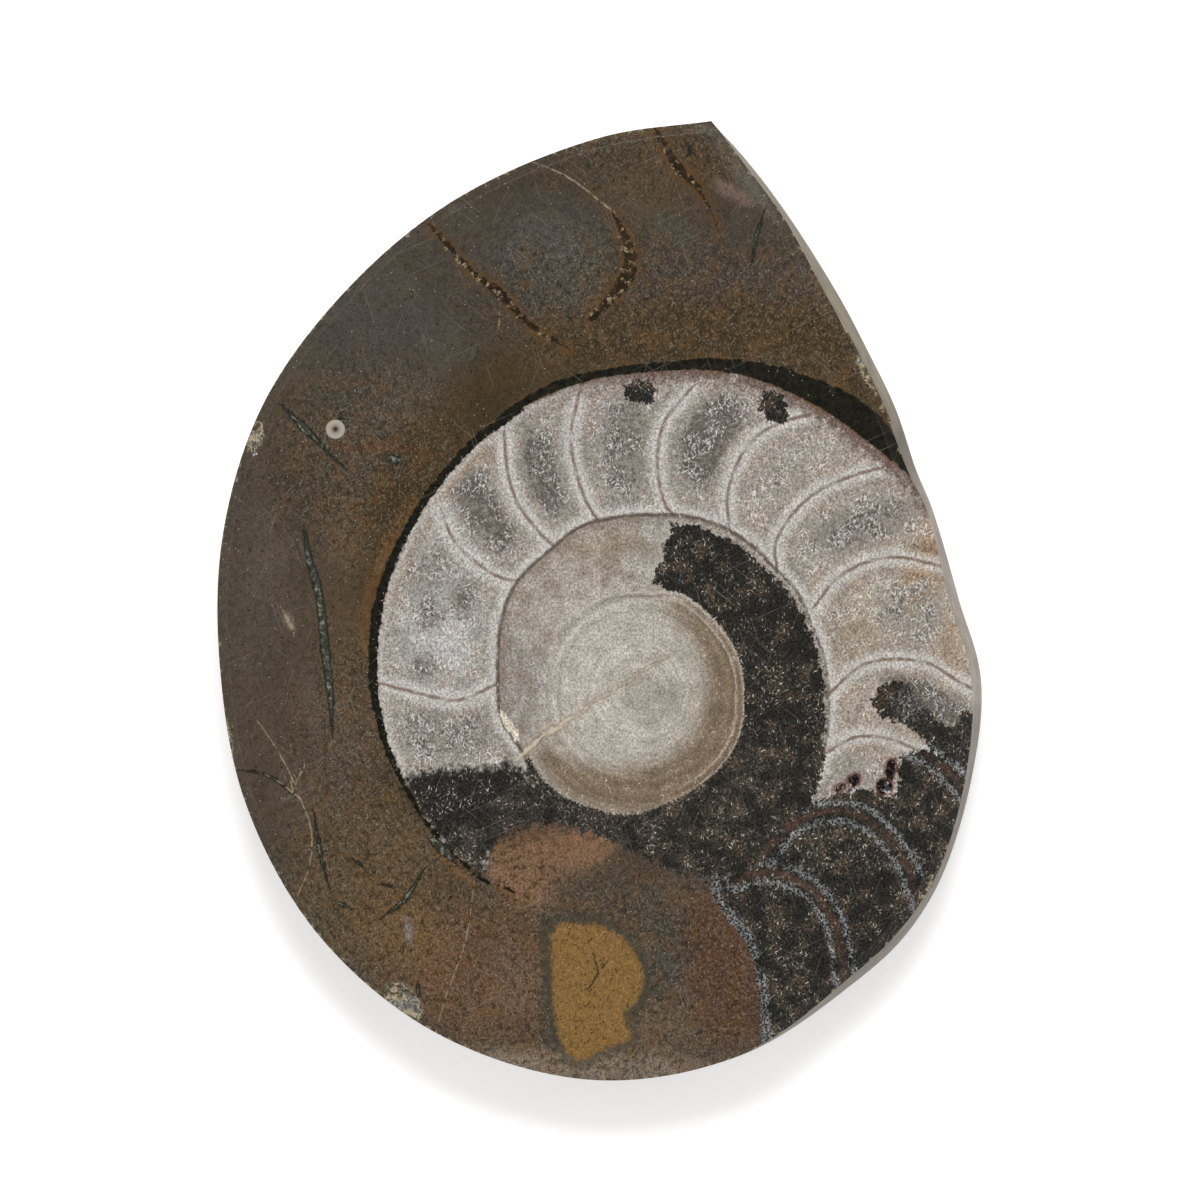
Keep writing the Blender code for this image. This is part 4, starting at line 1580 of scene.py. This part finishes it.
@dataclass
class PolishedSlab:
    """The slab itself: a gridded face, a wall drawn down from its edge, and a flat back."""

    form: SlabForm = field(default_factory=SlabForm)
    drawing: FossilDrawing = field(default_factory=FossilDrawing)
    face_cells: int = 236
    back_ring: float = 0.985
    tip_run_out: float = 2.4
    wall_steps: int = 26
    middle: Point = (0.0, -1.0)
    smooth_angle: float = 32.0
    face_tilt: float = 0.35
    polish_depth: float = 1.4
    back_tilt: float = -0.8
    back_height: float = 0.3
    chip_rim: float = 0.1
    pit_rim: float = 0.4
    chip_roughness: float = 0.35
    chip_lumps: float = 1.7
    face_patch: MapPatch = MapPatch(0.004, 0.004, 0.985)
    back_patch: MapPatch = MapPatch(0.792, 0.735, 0.26)
    strip_left: float = 0.797
    strip_low: float = 0.012
    strip_length: float = 1.38
    strip_scale: float = 0.09 / 16.0
    strip_step: float = 0.104
    chips: list[Chip] = field(
        default_factory=lambda: [
            Chip(-33.1, 15.7, 3.1, 0.7, 0.50, 72.0),
            Chip(-35.9, -13.2, 4.6, 0.45, 0.45, 101.0),
            Chip(-18.9, -38.6, 4.4, 1.35, 0.60, -48.0),
            Chip(31.5, -27.5, 2.8, 0.6, 0.55, 57.0),
            Chip(25.5, 21.8, 3.6, 0.40, 0.45, -64.0),
        ]
    )
    pits: list[Chip] = field(
        default_factory=lambda: [
            Chip(-8.7, -12.0, 3.4, 0.35, 0.40, -56.0),
            Chip(27.6, -17.2, 2.0, 0.55, 0.50, 75.0),
            Chip(24.1, -17.6, 1.6, 0.50, 0.40, 35.0),
        ]
    )

    def sheet(self) -> bpy.types.Object:
        """Adds a square grid, two units wide, to be laid over the slab's outline."""
        cells = self.face_cells
        deselect_all()
        bpy.ops.mesh.primitive_grid_add(x_subdivisions=cells, y_subdivisions=cells, size=2)
        sheet = bpy.context.object
        sheet.name = "polished_ammonite"
        return sheet

    def read_places(self, mesh: bpy.types.Mesh) -> np.ndarray:
        """Returns the places of a mesh's vertices, three columns."""
        return read_array(mesh.vertices, "co", 3).astype(float)

    def read_round(self, mesh: bpy.types.Mesh) -> np.ndarray:
        """Returns how far round the slab each vertex is, 0 to 1 from the tip."""
        return read_array(mesh.attributes["round"].data, "value")

    def write_places(self, mesh: bpy.types.Mesh, places: np.ndarray) -> None:
        """Moves a mesh's vertices to places in millimetres."""
        mesh.vertices.foreach_set("co", (places * MM).astype(np.float32).ravel())

    def round_square(self, square: np.ndarray) -> tuple[np.ndarray, np.ndarray]:
        """Reads a square's places as rings.

        Args:
            square: Places from -1 to 1, with the slab's tip at the corner (1, 1).

        Returns:
            How far out each lies, 0 to 1, and how far round anticlockwise from the tip, 0 to 1.
        """
        u = square[:, 0]
        v = square[:, 1]
        ring = np.maximum(np.abs(u), np.abs(v))
        safe = np.maximum(ring, 1e-9)
        near = 1e-6
        on_top = v >= ring - near
        on_left = u <= near - ring
        on_bottom = v <= near - ring
        turn = np.where(on_bottom, 0.5 + (1 + u / safe) / 8, 0.75 + (1 + v / safe) / 8)
        turn = np.where(on_left, 0.25 + (1 - v / safe) / 8, turn)
        turn = np.where(on_top, (1 - u / safe) / 8, turn)
        return ring, turn % 1.0

    def spread(self, square: np.ndarray) -> np.ndarray:
        """Lays a square's places over the slab's outline.

        Args:
            square: Places from -1 to 1.

        Returns:
            Places in millimetres, two columns.
        """
        count = 4 * self.face_cells
        points, _ = self.form.edge(count)
        rim = np.vstack([points[:, :2], points[:1, :2]])
        ring, turn = self.round_square(square)
        shares = np.arange(count + 1)
        border = np.column_stack([np.interp(turn * count, shares, column) for column in rim.T])
        centre = np.array(self.middle)
        return centre + ring[:, None] * (border - centre)

    def select_rim(self) -> None:
        """Selects the open edges of the mesh in edit mode."""
        bpy.ops.mesh.select_all(action="DESELECT")
        bpy.ops.mesh.select_mode(type="EDGE")
        bpy.ops.mesh.select_non_manifold(
            extend=False, use_wire=False, use_boundary=True, use_multi_face=False,
            use_non_contiguous=False, use_verts=False,
        )

    def wall_depths(self) -> list[tuple[float, float]]:
        """Returns the wall's rings below the polished edge as depth and inset."""
        top = self.form.face_edge_drop
        bottom = THICKNESS - self.form.back_edge_height
        share = (bottom - top) / self.wall_steps
        rings = [(top + share * step, 0.0) for step in range(1, self.wall_steps)]
        for turn in (0, 18, 36, 54, 72, 90):
            angle = math.radians(turn)
            depth = bottom + self.form.back_edge_height * math.sin(angle)
            rings.append((depth, self.form.back_edge_width * (1 - math.cos(angle))))
        return rings

    def place_face(self, sheet: bpy.types.Object) -> None:
        """Lays the grid over the outline, and remembers how far round each vertex is."""
        square = self.read_places(sheet.data)
        _, turn = self.round_square(square)
        new_float_field(sheet.data, "round", turn)
        places = self.spread(square)
        places = np.column_stack([places, np.full(len(places), THICKNESS)])
        self.write_places(sheet.data, places)

    def draw_wall(self, sheet: bpy.types.Object) -> None:
        """Draws the wall down from the face's edge, ring by ring, and gives it its form."""
        face_count = len(sheet.data.vertices)
        rings = self.wall_depths()
        pick_alone(sheet)
        bpy.ops.object.mode_set(mode="EDIT")
        self.select_rim()
        above = 0.0
        for depth, _ in rings:
            drop = (0.0, 0.0, (above - depth) * MM)
            bpy.ops.mesh.extrude_edges_move(TRANSFORM_OT_translate={"value": drop})
            above = depth
        bpy.ops.object.mode_set(mode="OBJECT")
        places = self.read_places(sheet.data) / MM
        turn = self.read_round(sheet.data)
        depths = np.round(THICKNESS - places[:, 2], 3)
        count = 4 * self.face_cells
        points, outward = self.form.edge(count)
        at = np.round(turn * count).astype(int) % count
        from_tip = np.hypot(*(points[:, :2] - points[0, :2]).T)
        bevel = np.minimum(from_tip / self.tip_run_out, 1.0)
        for depth, inset in rings:
            rows = np.flatnonzero(np.abs(depths - depth) < SAME_DEPTH)
            rows = rows[rows >= face_count]
            offset = self.form.wall_offset(points, depth) - inset * bevel
            ring = points[:, :2] + outward * offset[:, None]
            places[rows, :2] = ring[at[rows]]
        self.write_places(sheet.data, places)

    def close_back(self, sheet: bpy.types.Object) -> None:
        """Closes the slab below with a flat sawn back, inside a narrow ring that is flat too."""
        pick_alone(sheet)
        bpy.ops.object.mode_set(mode="EDIT")
        self.select_rim()
        bpy.ops.mesh.extrude_edges_move(TRANSFORM_OT_translate={"value": (0.0, 0.0, 0.0)})
        bpy.ops.transform.resize(value=(self.back_ring, self.back_ring, 1.0))
        bpy.ops.mesh.edge_face_add()
        bpy.ops.mesh.select_all(action="SELECT")
        bpy.ops.mesh.normals_make_consistent(inside=False)
        bpy.ops.object.mode_set(mode="OBJECT")

    def sink_chips(self, slab: bpy.types.Object) -> None:
        """Rounds the polished edge over and sinks the chips and pits."""
        places = self.read_places(slab.data) / MM
        flat = places[:, :2]
        edge = self.edge_distance(flat)
        face = places[:, 2] > THICKNESS - SAME_DEPTH
        share = np.clip(1 - edge / self.form.face_edge_width, 0, 1)
        places[face, 2] -= self.form.face_edge_drop * share[face] ** self.form.face_edge_curve
        for chip in self.chips + self.pits:
            lumps = [noise.noise(Vector((x, y, chip.x)) * self.chip_lumps) for x, y in flat]
            rough = 1 + self.chip_roughness * np.array(lumps)
            sunk = THICKNESS - chip.sink(flat) * rough
            inside_chip = (sunk < places[:, 2]) & (places[:, 2] > THICKNESS - 2 * chip.depth)
            places[inside_chip, 2] = sunk[inside_chip]
        self.write_places(slab.data, places)

    def edge_distance(self, flat: np.ndarray) -> np.ndarray:
        """Returns each place's distance inside the polished edge, and zero outside it."""
        points, _ = self.form.edge(self.face_cells)
        rim = Region([tuple(point) for point in points[:, :2]], steps=1)
        return np.clip(-rim.distance(flat), 0, None)

    def hold_fields(self, slab: bpy.types.Object) -> None:
        """Stores what the finishes read on the vertices: distances and stains."""
        places = self.read_places(slab.data) / MM
        flat = np.round(self.edge_places(slab, places), 4)
        flat, rows = np.unique(flat, axis=0, return_inverse=True)
        rows = rows.ravel()
        fields = self.drawing.fields(flat)
        fields["edge"] = self.edge_distance(flat)
        rim = self.chip_rim
        fields["chip"] = np.min([chip.form(rim).distance(flat) for chip in self.chips], axis=0)
        fields["gouge"] = self.pits[0].form(rim).distance(flat)
        for name, values in fields.items():
            new_float_field(slab.data, name, values[rows])
        for name, colours in self.drawing.paint(flat).items():
            new_colour_field(slab.data, name, colours[rows])

    def in_pits(self, flat: np.ndarray) -> np.ndarray:
        """Returns which places on the face lie in one of its pits."""
        return np.min([pit.form(self.pit_rim).distance(flat) for pit in self.pits], axis=0) < 0

    def edge_places(self, slab: bpy.types.Object, places: np.ndarray) -> np.ndarray:
        """Returns each vertex's place on the face, where the wall's lie on the polished edge."""
        turn = self.read_round(slab.data)
        count = 4 * self.face_cells
        points, _ = self.form.edge(count)
        flat = places[:, :2].copy()
        depth = THICKNESS - places[:, 2]
        wall = depth > self.form.face_edge_drop + 2 * SAME_DEPTH
        wall &= depth < THICKNESS - SAME_DEPTH
        wall &= ~self.in_pits(flat)
        flat[wall] = points[np.round(turn[wall] * count).astype(int) % count, :2]
        return flat

    def lay_map(self, slab: bpy.types.Object) -> None:
        """Lays the texture map: the face, the wall in two strips, and the back."""
        mesh = slab.data
        places = self.read_places(mesh) / MM
        corners = read_array(mesh.loops, "vertex_index", kind=np.int32)
        sizes = read_array(mesh.polygons, "loop_total", kind=np.int32)
        kinds = np.repeat(read_array(mesh.polygons, "material_index", kind=np.int32), sizes)
        place = places[corners]
        offset = place[:, :2] - places[:, :2].min(0)
        chart = self.face_patch.lay(offset)
        back = kinds == Surface.SAWN_BACK.value
        chart[back] = self.back_patch.lay(offset[back])
        wall = kinds == Surface.GROUND_WALL.value
        run = self.read_round(mesh)[corners].astype(float)
        starts = np.concatenate([[0], np.cumsum(sizes)[:-1]])
        first = np.repeat(run[starts], sizes)
        run = np.where(run - first > 0.5, run - 1.0, run)
        run = np.where(first - run > 0.5, run + 1.0, run)
        second = np.repeat(np.minimum.reduceat(run, starts), sizes) >= 0.5 - 1e-4
        strip = np.where(second, run - 0.5, run)
        chart[wall, 1] = self.strip_low + strip[wall] * self.strip_length
        across = self.strip_left + (THICKNESS - place[:, 2]) * self.strip_scale
        chart[wall, 0] = (across + np.where(second, self.strip_step, 0.0))[wall]
        layer = mesh.uv_layers.new(name="OFBake")
        layer.data.foreach_set("uv", chart.astype(np.float32).ravel())

    def dress(self, slab: bpy.types.Object) -> None:
        """Gives face, wall and back their finishes, and smooths all but real edges."""
        mesh = slab.data
        for finish in (PolishedFace(), GroundWall(), SawnBack()):
            mesh.materials.append(finish.material())
        centres = read_array(mesh.polygons, "center", 3) / MM
        height = centres[:, 2]
        up = read_array(mesh.polygons, "normal", 3)[:, 2]
        kinds = np.full(len(height), Surface.GROUND_WALL.value, np.int32)
        polished = (up > self.face_tilt) | self.in_pits(centres[:, :2])
        polished &= height > THICKNESS - self.polish_depth
        kinds[polished] = Surface.POLISHED_FACE.value
        kinds[(up < self.back_tilt) & (height < self.back_height)] = Surface.SAWN_BACK.value
        mesh.polygons.foreach_set("material_index", kinds)
        pick_alone(slab)
        bpy.ops.object.shade_smooth_by_angle(angle=math.radians(self.smooth_angle))

    def build(self) -> bpy.types.Object:
        """Models and dresses the slab.

        Returns:
            The finished piece, at the origin.
        """
        slab = self.sheet()
        self.place_face(slab)
        self.draw_wall(slab)
        self.close_back(slab)
        self.sink_chips(slab)
        self.hold_fields(slab)
        self.dress(slab)
        self.lay_map(slab)
        return slab


@dataclass
class Studio:
    """Floor, lights and camera: a plain pale floor under soft light, seen from straight above."""

    camera_height: float = 1.6
    lens: float = 500.0
    sensor: float = 36.0
    floor_side: float = 6.0
    floor_drop: float = 0.00005
    floor_grey: float = 0.8
    floor_glow: float = 0.34
    floor_roughness: float = 0.9
    floor_specular: float = 0.1
    ring_count: int = 8
    ring_rise: float = 50.0
    ring_distance: float = 1.3
    ring_side: float = 0.5
    ring_watts: float = 1.6
    main_lean: float = 22.0
    main_distance: float = 1.5
    main_side: float = 0.35
    main_watts: float = 12.2
    room_light: float = 0.25

    def floor(self) -> None:
        """Lays the pale floor under the slab."""
        deselect_all()
        bpy.ops.mesh.primitive_plane_add(size=self.floor_side, location=(0, 0, -self.floor_drop))
        floor = bpy.context.object
        floor.name = "pale_floor"
        material = bpy.data.materials.new("white_board")
        material.use_nodes = True
        shader = material.node_tree.nodes["Principled BSDF"]
        shader.inputs["Base Color"].default_value = (*[self.floor_grey] * 3, 1.0)
        shader.inputs["Emission Color"].default_value = (1.0, 1.0, 1.0, 1.0)
        shader.inputs["Emission Strength"].default_value = self.floor_glow
        shader.inputs["Roughness"].default_value = self.floor_roughness
        shader.inputs["Specular IOR Level"].default_value = self.floor_specular
        floor.data.materials.append(material)

    def softbox(self, name: str, place: Vector, side: float, watts: float) -> None:
        """Hangs a square soft light that faces the slab."""
        light = bpy.data.lights.new(name, "AREA")
        light.shape = "SQUARE"
        light.size = side
        light.energy = watts
        lamp = bpy.data.objects.new(name, light)
        bpy.context.scene.collection.objects.link(lamp)
        lamp.location = place
        lamp.rotation_euler = (-place).to_track_quat("-Z", "Y").to_euler()

    def lights(self) -> None:
        """Hangs a ring of softboxes and a main light above the tip, in a pale room."""
        rise = math.radians(self.ring_rise)
        for number in range(self.ring_count):
            turn = math.tau * (number + 0.5) / self.ring_count
            place = Vector((math.cos(rise), 0.0, math.sin(rise))) * self.ring_distance
            place.rotate(Euler((0.0, 0.0, turn)))
            self.softbox(f"ring_softbox_{number}", place, self.ring_side, self.ring_watts)
        lean = math.radians(self.main_lean)
        above = Vector((0.0, math.sin(lean), math.cos(lean))) * self.main_distance
        self.softbox("main_softbox", above, self.main_side, self.main_watts)
        world = bpy.data.worlds.new("pale_room")
        world.use_nodes = True
        background = world.node_tree.nodes["Background"]
        background.inputs["Color"].default_value = (1.0, 1.0, 1.0, 1.0)
        background.inputs["Strength"].default_value = self.room_light
        bpy.context.scene.world = world

    def camera(self) -> None:
        """Sets the camera straight above, framing the photograph's whole side."""
        data = bpy.data.cameras.new("overhead_camera")
        data.sensor_width = self.sensor
        frame_side = PHOTO_SIDE * MM_PER_PIXEL * MM
        to_face = self.lens / self.sensor * frame_side
        data.lens = self.lens
        camera = bpy.data.objects.new("overhead_camera", data)
        bpy.context.scene.collection.objects.link(camera)
        camera.location = (0.0, 0.0, to_face + THICKNESS * MM)
        bpy.context.scene.camera = camera

    def build(self) -> None:
        """Builds the whole studio."""
        self.floor()
        self.lights()
        self.camera()
        bpy.context.scene.view_settings.view_transform = "Standard"


def main() -> None:
    """Builds the slab and the studio, and tells the frame what stands for what."""
    logging.basicConfig(level=logging.INFO, format="%(name)s: %(message)s")
    slab = PolishedSlab().build()
    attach(slab, "root")
    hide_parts(SLAB_NODE)
    triangles = sum(len(face.vertices) - 2 for face in slab.data.polygons)
    log.info("%s: %d vertices, %d triangles", slab.name, len(slab.data.vertices), triangles)
    Studio().build()
    log.info("studio: floor, %d lights, camera", len(bpy.data.lights))


if __name__ == "__main__":
    main()
